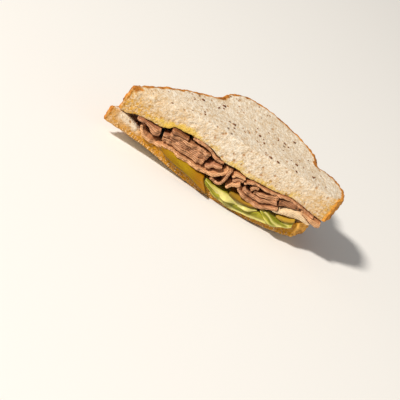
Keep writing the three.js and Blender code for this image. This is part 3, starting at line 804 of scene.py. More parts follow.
@dataclass
class BreadSlice:
    """Half a slice of bread, cut corner to corner.

    Toast and mustard are amounts along x, and toast reach is how high the toast climbs there. The end
    crust and the corner patch are lengths of crust that the cut shows at its right and left ends. The
    values from lump to crack are the heights of the relief.
    """

    name: str
    node: str
    corners: tuple[float, float]
    bottom: Field
    top: Field
    seed: float
    finish: BreadFinish
    toast: Profile
    end_crust: float
    outline: Pairs = Layers.OUTLINE
    toast_reach: Profile = Profile(((-80, 30.0), (80, 30.0)))
    mustard: Profile = Profile(((-80, 0), (80, 0)))
    inner_on_top: bool = True
    corner_patch: float = 0.0
    corner_toast: float = 0.0
    pale_corner: float = 0.0
    columns: ClassVar[int] = 230
    rows: ClassVar[int] = 104
    wall_cuts: ClassVar[int] = 21
    lump: ClassVar[float] = 0.16
    grain: ClassVar[float] = 0.1
    pore: ClassVar[float] = 0.3
    crag: ClassVar[float] = 0.75
    crack: ClassVar[float] = 0.5

    def shape(self, slab: Slab) -> np.ndarray:
        """Finds where the slab's vertices lie.

        Args:
            slab: The plain slab.

        Returns:
            Points in millimetres in the cut's frame.
        """
        u, v, w = slab.unit.T
        far = smooth_curve(self.outline, 600)
        tangent = np.gradient(far, axis=0)
        inward = np.column_stack([tangent[:, 1], -tangent[:, 0]])
        inward /= np.linalg.norm(inward, axis=1)[:, None]
        for axis in (0, 1):
            padded = np.pad(inward[:, axis], 7, mode="edge")
            inward[:, axis] = np.convolve(padded, np.ones(15) / 15, mode="valid")
        far_x, far_y = read_along(far, u)
        in_x, in_y = read_along(inward, u)
        inset = CRUST_ROUNDING * (1 - bulge(w, 2.6))
        left, right = self.corners
        near_x = lerp(left + inset, right - inset, u)
        x = lerp(near_x, far_x + in_x * inset, v)
        y = lerp(CUT_ROUNDING * (1 - bulge(w, 7)), far_y + in_y * inset, v)
        flat_wall = rise(np.minimum(near_x - left, right - near_x), 0, 6) * (v < 1e-4)
        share = lerp((1 - np.cos(np.pi * w)) / 2, w, flat_wall)
        return np.column_stack([x, y, lerp(self.bottom(x, y), self.top(x, y), share)])

    def survey(self, slab: Slab) -> Survey:
        """Measures a laid slice.

        Args:
            slab: The slice.

        Returns:
            Its vertices, their shares of its height, their heights above its underside, their distances
            in plan from the crust, and the noise that frays the edges of crust and stains.
        """
        points = slab.points()
        far = smooth_curve(self.outline, 900)
        rim = np.vstack([far, np.linspace((self.corners[1], 0), far[-1], 12)])
        tree = kdtree.KDTree(len(rim))
        for n, (x, y) in enumerate(rim):
            tree.insert((x, y, 0), n)
        tree.balance()
        distance = np.array([tree.find((x, y, 0))[2] for x, y in points[:, :2]])
        above = points[:, 2] - self.bottom(points[:, 0], points[:, 1])
        return Survey(points, slab.unit[:, 2], above, distance, noise_at(points, 4, self.seed + 5))

    def crust(self, at: Survey) -> np.ndarray:
        """Works out where the slice is crust.

        Args:
            at: The slice's survey.

        Returns:
            1 on the crust and 0 on the crumb.
        """
        x, y, _ = at.points.T
        left, right = self.corners
        narrow = lerp(0.3, 1, rise(x, left, 8))
        rim = fall(at.distance, (1.3 + 1.8 * at.wander) * narrow, 3.0 * narrow)
        end = fall(right - x, 0, self.end_crust) * fall(y, 0, 3) * (0.75 + 0.8 * at.wander)
        # crust on the left end wall: partly real crust, partly painted shade of that wall
        wall = fall(x, left + 0.6, 0.9) * (0.4 + 0.6 * at.wander)
        crust = np.maximum.reduce([rim, end, wall])
        if self.corner_patch:
            patch = 1 - smooth((x - left - self.corner_patch * at.w) / 3 + at.wander)
            crust = np.maximum(crust, patch * rise(at.w, 0.62, 0.3) * fall(y, 0, 6))
        speckle = smooth(0.9 + 1.3 * noise_at(at.points, 1.6, self.seed + 7))
        fringe = rise(x, right - 9, 4) * fall(x, right - 2.6, 2.6) * fall(y, 1, 5)
        return crust * (1 - fringe * (0.45 + 0.45 * speckle))

    def relief(self, points: np.ndarray, crust: np.ndarray) -> np.ndarray:
        """Works out the pores of the crumb and the crags of the crust.

        Args:
            points: The slice's vertices.
            crust: How much of each vertex is crust.

        Returns:
            How far each vertex is pushed out.
        """
        lumps = self.lump * noise_at(points, 3.4, self.seed)
        grain = self.grain * noise_at(points, 1.25, self.seed + 1)
        pores = self.pore * rise(noise_at(points, 2.0, self.seed + 2), 0.3, 0.22)
        torn = 1 + 0.9 * fall(points[:, 1], 0.4, 1.5) * fall(points[:, 0], -50, 40)
        crags = self.crag * noise_at(points, (3.2, 3.2, 1.7), self.seed + 3)
        cracks = self.crack * np.abs(noise_at(points, 1.1, self.seed + 4))
        return lerp((lumps + grain) * torn - pores, crags - cracks, crust)

    def stains(self, at: Survey) -> dict[str, np.ndarray]:
        """Works out what the oven, the toaster and the filling have left on the slice, and where light and
        shade are painted on it.

        Args:
            at: The slice's survey.

        Returns:
            The marks of painted light on the crust near the right end, painted shade on the left end wall,
            toast, mustard, and painted shade in the hollows behind the cut.
        """
        x, y, _ = at.points.T
        left, right = self.corners
        cream = self.pale_corner * rise(at.w, 0.35, 0.4) * rise(x, -76, 6) * fall(x, -62, 8)
        reach = self.toast_reach(x) + 4 * at.wander
        cut_toast = self.toast(x) * fall(y, 0.3, 2.2) * fall(at.above, reach, 11) * (1 - cream)
        top_toast = self.corner_toast * fall(x, -66, 44) * fall(y, 2, 16)
        soaked = 0.6 + 3 * at.wander + 5 * noise_at(at.points, 11, self.seed + 6)
        inside = (at.w > 0.5) == self.inner_on_top
        # painted shade: the inner faces darken with depth behind the cut and away from the crust
        depth = rise(y, lerp(1.6, 1.0, rise(x, -60, 10)), 5) * rise(at.distance, 5, 4)
        # the first two marks are painted light on the crust near the right end and painted shade on the left
        # end wall
        return {"golden": rise(x, right - 12, 6) * fall(y, 3, 9),
                "browned": fall(x, left + 0.5, 0.9),
                "toast": np.maximum(cut_toast, top_toast),
                "mustard": self.mustard(x) * fall(at.above, soaked, 6) * fall(y, 1.5, 5),
                "inner": np.where(inside, depth, 0)}

    def build(self) -> bpy.types.Object:
        """Builds and dresses the slice.

        Returns:
            The finished piece.
        """
        slab = Slab(self.columns, self.rows, self.wall_cuts)
        slab.lay(self.shape(slab))
        survey = self.survey(slab)
        crust = self.crust(survey)
        slab.push(self.relief(survey.points, crust))
        settled = slab.points()
        settled[:, 2] = np.maximum(settled[:, 2], 0)
        slab.lay(settled)
        slab.mark(crust=crust, **self.stains(survey))
        return slab.finish(self.name, self.finish.build(), self.node, "bread", angle=50)


# ---- beef ---------------------------------------------------------------------------------
@dataclass
class BeefSlice:
    """One thin slice of roast beef, folded along the cut and running back into the sandwich.

    The thickness goes by share of the fold's length, and the sag is how far the front edge droops.
    Plies are the thin slices that are pressed together in this one; their seams, pushed in at the front and
    darkened with painted shade, end at the share fade.
    Lumps is how rugged the slice is. Row limits are the middle rows' greatest depths and their shares
    of the slice's depth, and the values from swell to fine shape the relief.
    """

    name: str
    fold: Pairs
    front: float
    depth: float
    thickness: Pairs
    phase: float
    tone: BeefTone = BeefTone.COOKED
    sag: float = 0.0
    plies: int = 1
    lumps: float = 1.0
    fade: float = 1.0
    cell: ClassVar[float] = 0.85
    rows: ClassVar[int] = 16
    row_limits: ClassVar[Pairs] = ((10, 0.3), (22, 0.55), (36, 0.8))
    swell: ClassVar[float] = 0.8
    wall: ClassVar[float] = 0.06
    sway: ClassVar[float] = 0.34
    uneven: ClassVar[float] = 0.25
    ruffle: ClassVar[float] = 0.7
    ledge: ClassVar[float] = 0.5
    coarse: ClassVar[float] = 0.24
    fine: ClassVar[float] = 0.15

    def depths(self, x: np.ndarray, share: np.ndarray) -> tuple[np.ndarray, np.ndarray, np.ndarray]:
        """Places the slice's rows behind the cut.

        Args:
            x: Place along the cut.
            share: Share of the way from the slice's front to its back.

        Returns:
            Each vertex's depth, and the depths of the front and back edges there.
        """
        ragged = 0.8 * np.sin(x * 0.55 + self.phase) + 0.4 * np.sin(x * 1.3 - self.phase)
        start = self.front + 0.8 * ragged * min(1, 0.2 + self.lumps)
        room = np.maximum(6, LAYERS.crust_depth(x) - BACK_MARGIN)
        back = np.minimum(self.depth, room + 1.5 * np.sin(x * 0.3 + self.phase))
        between = [np.minimum(limit, back * part) for limit, part in self.row_limits]
        rows = np.stack([start, *between, back])
        place = share * (len(rows) - 1)
        low = np.minimum(place.astype(int), len(rows) - 2)
        n = np.arange(len(x))
        return lerp(rows[low, n], rows[low + 1, n], place - low), start, back

    def seams(self, run: np.ndarray, y: np.ndarray, w: np.ndarray) -> np.ndarray:
        """Finds the seams between the thin slices that are pressed together in this piece.

        Args:
            run: Length along the fold.
            y: Depth behind the cut.
            w: Share of the piece's thickness.

        Returns:
            1 on a seam and 0 away from it.
        """
        if self.plies == 1:
            return w * 0
        ply = w * self.plies
        inside = (w > 0.5 / self.plies) & (w < 1 - 0.5 / self.plies)
        patches = noise_at(np.column_stack([run, ply, y * 0.1]), (7, 0.8, 3), self.phase + 11)
        return fall(np.abs(ply - np.round(ply)), 0, 0.3) * inside * smooth(patches * 2 + 0.7)

    def build(self) -> bpy.types.Object:
        """Builds and dresses the slice.

        Returns:
            The finished piece.
        """
        line = smooth_curve(self.fold, 500)
        length = float(np.linalg.norm(np.diff(line, axis=0), axis=1).sum())
        slope = np.gradient(line, axis=0)
        slope /= np.linalg.norm(slope, axis=1)[:, None]
        slab = Slab(max(10, round(length / self.cell)), self.rows, 4 * self.plies - 1)
        u, v, w = slab.unit.T
        side = 2 * w - 1
        along = u - 0.5 * np.sin(2 * np.pi * u) / (2 * np.pi)
        run = along * length
        x, z = read_along(line, along)
        slope_x, slope_z = read_along(slope, along)
        y, start, back = self.depths(x, v**1.75)
        behind = y - start
        to_rim = np.minimum.reduce([run, length - run, behind * 1.4, back - y])
        thinned = 1 - 0.22 * bool(self.sag) * fall(behind, 0, 3)
        full = (Profile(self.thickness)(along) + self.swell) * thinned
        half = full / 2 * (0.82 + 0.18 * rounded(to_rim / 0.5))
        sheet = np.column_stack([x, y, z])
        sway = self.sway * self.lumps * noise_at(sheet, (3.6, 7, 3.6), self.phase + 7) * rise(behind, -1, 2)
        uneven = self.uneven * self.lumps * np.minimum(half, 1.1) * noise_at(sheet, 3, self.phase + 9)
        hang = self.sag * fall(behind, 0, 3.6) * smooth(np.minimum(run, length - run) / 3 + 0.3)
        offset = side * (half + uneven) + sway - hang
        wall = self.wall * full * (1 - side**2)
        lively = min(1, self.lumps)
        front = (v < 0.001) * 1.0
        ends = (u > 0.999) * 1.0 - (u < 0.001)
        seam = self.seams(run, y, w) * fall(behind, 0, 1.5) * fall(along, self.fade, 0.12)
        ruffled = noise_at(np.column_stack([run, side * 0.5, z * 0]), 2.3, self.phase) * fall(behind, 0, 4)
        pushed = self.ledge * seam * front + self.ruffle * lively * ruffled
        x = x - slope_z * offset + slope_x * wall * ends
        z = z + slope_x * offset + slope_z * wall * ends
        y = y + wall * ((v > 0.999) - front) + pushed
        slab.lay(np.column_stack([x, y, LAYERS.carried(x, y, z)]))
        slab.unroll(run, y + 3 * side)
        # inner and seam are painted shade: darker deep behind the cut edge and along the seams
        slab.mark(edge=fall(to_rim, 0.15, 0.9), inner=rise(y, 2.4, 8) * rise(back - y, 1.5, 6), seam=seam)
        slab.soften()
        points = slab.points()
        coarse = self.coarse * noise_at(points, (1.4, 2.4, 1.4), self.phase)
        fine = self.fine * noise_at(points, 0.8, self.phase + 3)
        slab.push((coarse + fine) * (0.4 + 0.6 * lively))
        return slab.finish(self.name, BeefFinish.of(self.tone).build(), "beef_" + self.name, "beef")


# ---- pickle and lettuce -------------------------------------------------------------------
@dataclass(frozen=True)
class Sheet:
    """What a sheet's marks depend on, for each vertex: place, travel back from the edge, and reach."""

    x: np.ndarray
    travel: np.ndarray
    over: np.ndarray
    to_rim: np.ndarray


@dataclass
class DroopingSheet:
    """A sheet that lies on the lower slice and droops over its cut edge.

    Along x, drop is how far it hangs down, lift how high it lies above the slice and lean how far it
    drifts sideways as it hangs. It bends to its steepest angle, in degrees, round a radius.
    """

    name: str
    node: str
    span: tuple[float, float]
    back: float
    drop: Pairs
    thickness: float
    lift: Pairs
    radius: float
    steepest: float
    lean: Pairs
    seed: float
    columns: int
    rows: ClassVar[int] = 40

    def wave(self, x: np.ndarray) -> np.ndarray:
        """Returns the push of the sheet's ruffle at x."""
        return x * 0

    def settle(self, slab: Slab) -> Sheet:
        """Lays the slab down and over the edge.

        Args:
            slab: The plain slab.

        Returns:
            What the sheet's marks depend on.
        """
        u, v, w = slab.unit.T
        share = u - 0.4 * np.sin(2 * np.pi * u) / (2 * np.pi)
        x = lerp(*self.span, share)
        outline = np.maximum(0.12, 1 - np.abs(2 * share - 1) ** 2.6) ** 0.5
        deep, drop = self.back * outline, Profile(self.drop)(x)
        travel = lerp(deep, -drop, v**0.62)
        to_rim = np.minimum.reduce([x - self.span[0], self.span[1] - x, travel + drop, deep - travel])
        offset = (w - 0.5) * self.thickness * (0.4 + 0.6 * rounded(to_rim / (self.thickness * 0.6)))
        level = LAYERS.LOWER_TOP(x) + LAYER_GAP + Profile(self.lift)(x)
        steep = math.radians(self.steepest)
        over = np.maximum(0, -travel)
        bend = np.minimum(over / self.radius, steep)
        rest = np.maximum(0, over - self.radius * steep)
        hang_y = -(self.radius + offset) * np.sin(bend) - rest * math.cos(steep)
        hang_z = level - self.radius + (self.radius + offset) * np.cos(bend) - rest * math.sin(steep)
        push = self.wave(x) * rise(over, self.radius * 0.4, 4)
        lying_z = LAYERS.carried(x, np.maximum(travel, 0), level + offset)
        lies = travel >= 0
        y = np.where(lies, travel, hang_y) - push
        z = np.where(lies, lying_z, hang_z) + push * 0.25
        sideways = Profile(self.lean)(x) * np.maximum(0, level - z)
        slab.lay(np.column_stack([np.where(lies, x, x + sideways), y, z]))
        slab.unroll(x, travel)
        return Sheet(x, travel, over, to_rim)


@dataclass
class Leaf(DroopingSheet):
    """A thin ruffled lettuce leaf. Ribs, and the lines of painted shadow along folds and under another leaf's
    rim, are lines through x and travel over the edge.
    """

    ruffle: Triple
    ribs: tuple[Pairs, ...] = ()
    creases: tuple[Pairs, ...] = ()
    pale: Pairs = ((-80, 0), (80, 0))
    rib_height: ClassVar[float] = 0.4
    crinkle: ClassVar[float] = 0.9

    def wave(self, x: np.ndarray) -> np.ndarray:
        """Returns the push of the leaf's ruffle, by its size, pitch and phase."""
        size, pitch, phase = self.ruffle
        return size * (np.sin(x / pitch * 2 * np.pi + phase) + 0.4 * np.sin(x / pitch * 5.1 + 2 * phase))

    def along(self, sheet: Sheet, lines: tuple[Pairs, ...], reach: float) -> np.ndarray:
        """Finds what lies along lines drawn on the leaf.

        Args:
            sheet: The settled sheet.
            lines: The lines.
            reach: Distance over which a line fades out.

        Returns:
            1 on a line and 0 away from all.
        """
        found = np.zeros_like(sheet.x)
        for line in lines:
            within = rise(sheet.x, line[0][0], 2) * rise(line[-1][0] - sheet.x, 0, 2)
            across = np.abs(sheet.travel + Profile(line)(sheet.x))
            found = np.maximum(found, within * fall(across, 0.2, reach))
        return found

    def build(self) -> bpy.types.Object:
        """Builds and dresses the leaf.

        Returns:
            The finished piece.
        """
        slab = Slab(self.columns, self.rows, 1)
        sheet = self.settle(slab)
        rib = self.along(sheet, self.ribs, 1.0)
        pale = Profile(self.pale)(sheet.x) * rise(sheet.over, 0, 2)
        # the line marks are pale ribs and painted shadow lines, and the edge mark is a painted highlight
        # along the rim
        slab.mark(rib=rib, crease=self.along(sheet, self.creases, 1.7), pale=pale,
                  edge=fall(sheet.to_rim, 0.1, 0.9))
        crinkle = self.crinkle * rise(sheet.over, 0.5, 4) * noise_at(slab.points(), (9, 6, 3.4), self.seed)
        slab.push(self.rib_height * rib * (2 * slab.unit[:, 2] - 0.6) + crinkle)
        slab.soften()
        return slab.finish(self.name, LeafFinish().build(), self.node, "lettuce")


@dataclass
class Pickle(DroopingSheet):
    """A slice of pickled cucumber, limp enough to bend over the bread's edge.

    Brown is how brown its end is along x, crown how much its middle swells and bump how rough it is.
    """

    brown: Pairs
    finish: PickleFinish = PickleFinish()
    crown: ClassVar[float] = 0.5
    bump: ClassVar[float] = 0.22

    def build(self) -> bpy.types.Object:
        """Builds and dresses the slice.

        Returns:
            The finished piece.
        """
        slab = Slab(self.columns, self.rows, 1)
        sheet = self.settle(slab)
        # low is painted shade on the part that hangs over the edge
        slab.mark(edge=fall(sheet.to_rim, 0.3, 0.9), brown=Profile(self.brown)(sheet.x),
                  low=rise(sheet.over, 0.5, 6))
        crown = self.crown * rise(sheet.to_rim, 0.2, 3.5) * rise(sheet.over, 0, 2) * (slab.unit[:, 2] > 0.5)
        slab.push(crown + self.bump * noise_at(slab.points(), (5, 3, 2.2), self.seed))
        slab.soften()
        return slab.finish(self.name, self.finish.build(), self.node, "pickle")


# ---- small scattered pieces ---------------------------------------------------------------
@dataclass(frozen=True)
class Place:
    """Where one flake lies, in millimetres in the cut's frame, its size, and its turn about the vertical."""

    at: Triple
    size: Triple
    turn: float


@dataclass
class Scatter:
    """Many small copies of one modelled crumb or flake, joined into one piece."""

    name: str
    slot: str
    seed: int
    count: int
    finish: FlakeFinish
    roughness: ClassVar[float] = 0.11

    def model(self) -> bpy.types.Object:
        """Models the one rough flake, a millimetre across, that the others are copied from.

        Returns:
            The flake.
        """
        deselect_all()
        bpy.ops.mesh.primitive_ico_sphere_add(subdivisions=2, radius=0.5 / METRE, location=(0, 0, 0))
        bpy.ops.object.mode_set(mode="EDIT")
        bpy.ops.mesh.select_all(action="SELECT")
        bpy.ops.transform.vertex_random(offset=self.roughness / METRE, seed=self.seed)
        bpy.ops.object.mode_set(mode="OBJECT")
        bpy.ops.object.shade_smooth()
        return bpy.context.active_object

    def copy(self, first: bpy.types.Object, place: Place) -> bpy.types.Object:
        """Copies the flake to a place.

        Args:
            first: The flake that is copied.
            place: Where the copy lies, its size and its turn.

        Returns:
            The copy.
        """
        pick([first])
        bpy.ops.object.duplicate(linked=False)
        bpy.ops.transform.resize(value=place.size)
        bpy.ops.transform.rotate(value=place.turn, orient_axis="Z", center_override=(0, 0, 0))
        bpy.ops.transform.translate(value=Vector((np.array(place.at) + ORIGIN_SHIFT) / METRE))
        bpy.ops.object.transform_apply(location=True, rotation=True, scale=True)
        return bpy.context.active_object

    def spot(self, chance: np.random.Generator) -> Triple:
        """Returns where the next crumb lies."""
        raise NotImplementedError

    def places(self) -> list[Place]:
        """Draws the crumbs' places.

        Returns:
            The places.
        """
        chance = np.random.default_rng(self.seed)
        found = []
        for _ in range(self.count):
            at = self.spot(chance)
            size = tuple(float(s) for s in chance.uniform(0.5, 1.5, 3))
            found.append(Place(at, size, float(chance.uniform(0, math.pi))))
        return found

    def build(self) -> bpy.types.Object:
        """Copies the flake to all its places, joins the copies and dresses them.

        Returns:
            The finished piece.
        """
        first = self.model()
        flakes = [self.copy(first, place) for place in self.places()]
        pick([first])
        bpy.ops.object.delete()
        pick(flakes)
        bpy.ops.object.join()
        return dress(bpy.context.active_object, self.name, self.finish.build())


@dataclass
class LooseCrumbs(Scatter):
    """Crumbs that lie on the lower slice's inner face, in front of the filling."""

    def spot(self, chance: np.random.Generator) -> Triple:
        """Returns where the next crumb lies."""
        x, y = chance.uniform(-66, -50), chance.uniform(0.8, 9)
        return (x, y, float(LAYERS.lower_top(x, y)) + 0.2)


@dataclass
class RimCrumbs(Scatter):
    """Crumbs of torn bread along the lower edge of the cut."""

    def spot(self, chance: np.random.Generator) -> Triple:
        """Returns where the next crumb hangs."""
        x, up = chance.uniform(-74, 57), abs(float(chance.normal(0, 1.1)))
        return (x, 0.15, float(LAYERS.lower_face(x, 0.0)) + 0.45 + up)


@dataclass
class BranFlakes(Scatter):
    """Flakes of bran set flush into the top face: some placed by x, y and length, the rest by chance."""

    placed: ClassVar[tuple[Triple, ...]] = (
        (-30.6, 34.3, 2.2), (-15.6, 45.1, 2.4), (-7.7, 21.4, 2.2), (11.3, 29.2, 2.0), (30.0, 42.3, 1.7),
        (37.5, 53.6, 1.8), (19.4, 3.2, 2.0), (24.7, 2.6, 1.9), (37.9, 4.4, 1.2), (50.6, 11.6, 1.6),
        (-49.8, 2.6, 1.3), (38.4, 15.9, 1.9),
    )

    def places(self) -> list[Place]:
        """Places the chosen flakes and draws the rest.

        Returns:
            The places.
        """
        chance = np.random.default_rng(self.seed)
        spots = list(self.placed)
        while len(spots) < self.count:
            x, y = chance.uniform(-66, 70), chance.uniform(4, 76)
            if y < LAYERS.crust_depth(x) - 5:
                spots.append((x, y, float(chance.uniform(0.6, 1.3))))
        found = []
        for x, y, length in spots:
            size = (1.3 * length, length * float(chance.uniform(0.9, 1.3)), 0.9)
            at = (x, y, float(LAYERS.upper_top(x, y)) + 0.12)
            found.append(Place(at, size, float(chance.uniform(0, math.pi))))
        return found


# ---- the sandwich -------------------------------------------------------------------------
class Sandwich:
    """All the pieces of the half sandwich. A fold goes through places on the cut, [x, z]."""

    UPPER: ClassVar[BreadSlice] = BreadSlice(
        "upper_bread", "bread_upper", (-74.6, 70.5), LAYERS.upper_underside, LAYERS.upper_top, 1.0,
        BreadFinish("bread_upper_finish", 0.3, srgb(212, 160, 66)),
        toast=Profile(((-76, 1), (-66, 1), (-57, 0.9), (-48, 0.75), (-35, 0.5), (-20, 0.2), (10, 0.15),
                       (34, 0.3), (56, 0.5), (72, 1))),
        toast_reach=Profile(((-76, 12), (-66, 6), (-55, 3), (-30, 2), (30, 2), (50, 5), (70, 12))),
        mustard=Profile(((-76, 0.2), (-50, 0.6), (-42, 1), (-28, 0.9), (-18, 0.4), (-6, 0.5), (4, 0.7),
                         (26, 0.7), (44, 0.5), (60, 0.2), (75, 0))),
        end_crust=3.8, inner_on_top=False, corner_patch=3.6, corner_toast=0.432)
    LOWER: ClassVar[BreadSlice] = BreadSlice(
        "lower_bread", "bread_lower", (-78.8, 60), LAYERS.lower_face, LAYERS.lower_top, 2.0,
        BreadFinish("bread_lower_finish", 0.75, srgb(200, 138, 26), crust_gold=srgb(255, 194, 92)),
        outline=tuple((-4.2 + (x * 0.945 if x > 0 else x), y * 0.985) for x, y in Layers.OUTLINE),
        toast=Profile(((-78, 0.75), (-62, 0.85), (-50, 1), (60, 1))), end_crust=7, pale_corner=0.85)

    BEEF: ClassVar[tuple[BeefSlice, ...]] = (
        BeefSlice("left_curl",
                  ((-62.5, 21.2), (-57, 21.9), (-53.4, 21.3), (-50.6, 20.2), (-48, 20), (-46, 20.6)), -1.2,
                  24, ((0, 1), (0.35, 1.2), (0.6, 2.2), (0.8, 4.6), (1, 4.4)), 0.4, BeefTone.ROSY, sag=0.5,
                  plies=2),
        BeefSlice("long_under",
                  ((-57.6, 18.6), (-55.4, 16.4), (-52.4, 14.4), (-48, 13.9), (-43, 14.2), (-38.5, 15.8),
                   (-33, 15.8), (-26, 15), (-18, 14.8), (-12, 14.8), (-6.4, 16), (-2.4, 18.2), (0.4, 21),
                   (1.2, 24.2)), -1.6, 60, ((0, 1.6), (0.45, 1.6), (0.6, 2), (0.75, 2), (1, 1.5)), 1.1,
                  BeefTone.LIGHT, sag=1.3),
        BeefSlice("stack_wrap",
                  ((-40.2, 23.4), (-37, 23.9), (-32, 24.2), (-25, 24.6), (-19, 25), (-15, 24.9),
                   (-12.6, 24.2)), -1.4, 60, ((0, 1.2), (0.4, 1.7), (1, 2)), 0.9, plies=2),
        BeefSlice("stack_low", ((-43, 18), (-40, 18.5), (-36, 18.5), (-28, 18.2), (-20, 18.1), (-13.6, 18.8)),
                  -0.9, 60, ((0, 0.6), (0.12, 1.9), (0.4, 2.4), (1, 2.9)), 2.2, plies=3),
        BeefSlice("stack_high",
                  ((-43.6, 20.4), (-40.4, 21.2), (-34, 21.3), (-26, 21.5), (-18, 21.8), (-12.9, 22)), -0.6,
                  60, ((0, 0.4), (0.12, 1.7), (0.4, 2.3), (0.75, 3.3), (0.9, 3.2), (1, 1.8)), 3.1,
                  BeefTone.ROSY, plies=3, fade=0.62),
        BeefSlice("flap", ((-40.6, 26.4), (-37, 26.9), (-33, 27), (-29.4, 26.9)), -1.8, 24,
                  ((0, 2.2), (0.5, 1.9), (1, 0.7)), 1.3, BeefTone.BROWN, sag=0.5),
        BeefSlice("roof_left",
                  ((-26.8, 28.3), (-20, 28.9), (-14.6, 28), (-10.6, 26.1), (-6.6, 25.1), (-2.4, 25.1)), -0.6,
                  60, ((0, 1), (1, 1)), 2.6),
        BeefSlice("wedge", ((-11.4, 17.2), (-10, 19.2), (-8, 21), (-5.4, 22.2), (-2.4, 22.4)), -1.8, 44,
                  ((0, 1.8), (1, 1.8)), 0.2, BeefTone.ROSY, sag=1.0),
        BeefSlice("loop",
                  ((-4.4, 13.2), (-2.6, 11.8), (0, 11.3), (2.4, 12.2), (3.6, 15), (3.9, 19), (3.6, 24.2)),
                  -2.2, 40, ((0, 1.7), (1, 1.7)), 1.9, sag=-0.7),
        BeefSlice("petal", ((6.6, 12.8), (7.4, 15.2), (9.8, 17.5), (13.2, 19.3)), -2.2, 46,
                  ((0, 1.5), (0.4, 2.3), (1, 2)), 2.8, BeefTone.LIGHT, sag=0.8),
        BeefSlice("petal_inner", ((8, 18.8), (10.6, 20.5), (14.2, 21.7)), -0.6, 34, ((0, 1.5), (1, 1.5)), 0.7,
                  BeefTone.ROSY),
        BeefSlice("crest", ((6.5, 20.8), (6.8, 22.6), (8.8, 23.9), (11.4, 24.1), (14, 23.7)), -1.2, 40,
                  ((0, 1.5), (1, 1.2)), 2.0, BeefTone.LIGHT, sag=0.6),
        BeefSlice("right_under",
                  ((13.4, 17.4), (16, 16.2), (19.6, 14.8), (24, 14), (29.4, 14), (33.5, 15.4), (38, 17.5),
                   (41.2, 19.4)), -2.2, 60, ((0, 1.5), (0.5, 1.8), (1, 1.3)), 0.6, sag=1.2),
        BeefSlice("mid_low", ((16.6, 18.4), (20, 17.1), (25, 16.6), (30, 17.4), (35, 19.4), (39, 21.4)), -1.2,
                  60, ((0, 1.5), (0.5, 2), (1, 2.2)), 1.4, BeefTone.ROSY, plies=2),
        BeefSlice("mid_high", ((23.4, 19.2), (28, 20.2), (33, 22), (38.6, 24.3)), -0.9, 60,
                  ((0, 1.5), (0.5, 2), (1, 2.2)), 0.1, plies=2),
        BeefSlice("slab_right", ((40.2, 22.4), (44.5, 24.3), (48.5, 25.5), (52.8, 26.1)), -0.6, 36,
                  ((0, 3.2), (0.35, 3.5), (0.7, 2.6), (1, 1.2)), 2.4, BeefTone.BROWN, plies=3),
        BeefSlice("pale_slab",
                  ((38.9, 16.3), (42, 17), (46, 19.2), (50, 20.9), (54, 22.1), (58, 22.2), (61.5, 21.3),
                   (63.8, 20.9)), -1.8, 32,
                  ((0, 0.7), (0.14, 1.6), (0.3, 3.4), (0.5, 5.2), (0.65, 5), (0.8, 3.1), (1, 0.9)), 3.4,
                  BeefTone.PALE, sag=0.6, lumps=0.1),
        BeefSlice("upright_bit", ((21.2, 19.6), (21, 21.2), (22.2, 22.6), (24.6, 22.8)), -1.4, 16,
                  ((0, 1.2), (1, 1.2)), 0.8),
        BeefSlice("tail", ((54.6, 25.8), (58, 25.2), (62, 24.4), (66, 23.7), (69.6, 23.5)), -2.4, 28,
                  ((0, 0.8), (0.35, 1.6), (0.65, 2.9), (0.85, 3.3), (1, 2.8)), 1.2, BeefTone.LIGHT, sag=0.6,
                  lumps=0.3),
        BeefSlice("roof_right",
                  ((15.2, 21), (16.4, 23), (19, 24.5), (23, 25.1), (28, 25.3), (31.5, 25.4), (34.5, 25.9),
                   (38.2, 26.9), (42, 28), (47, 28.3), (52, 27.9), (58, 26.8), (63, 26.2)), -1.0, 60,
                  ((0, 1.05), (1, 0.9)), 1.6, sag=0.5),
    )

    PICKLES: ClassVar[tuple[Pickle, ...]] = (
        Pickle("long_pickle", "pickle_left", (-41, -7.4), 30,
               ((-41, 3.6), (-36, 5.6), (-30, 6.3), (-20, 7.1), (-12, 8.8), (-6, 9.6)), 2.3,
               ((-40, 1.15), (0, 1.15)), 3, 75, ((-40, 0.6), (-8, 0.95)), 1.0, 70,
               brown=((-40, 0.9), (-35, 0.55), (-27, 0.2), (-18, 0.35), (-13, 0.9), (-8, 1))),
        Pickle("middle_pickle", "pickle_middle", (10.6, 31), 24,
               ((10, 1.6), (15, 3.4), (21, 3.8), (27, 3.2), (31, 1.2)), 1.8, ((10, 2.8), (31, 2.8)), 4.6, 62,
               lean=UPRIGHT, seed=2.0, columns=44, brown=((11, 0.4), (31, 0.6)),
               finish=PickleFinish("pickle_slice_middle", srgb(184, 152, 60), srgb(140, 106, 36))),
        Pickle("right_pickle", "pickle_right", (43.6, 55), 18,
               ((43, 1.4), (46, 3.2), (50, 3.8), (54, 3.6), (57, 2)), 1.8, ((43, 2.6), (57, 2.6)), 4.6, 62,
               lean=UPRIGHT, seed=3.0, columns=30, brown=((43, 0.1), (55, 0.3)),
               finish=PickleFinish("pickle_slice_right", srgb(188, 154, 54), srgb(142, 108, 30),
                                   srgb(150, 118, 34))),
    )

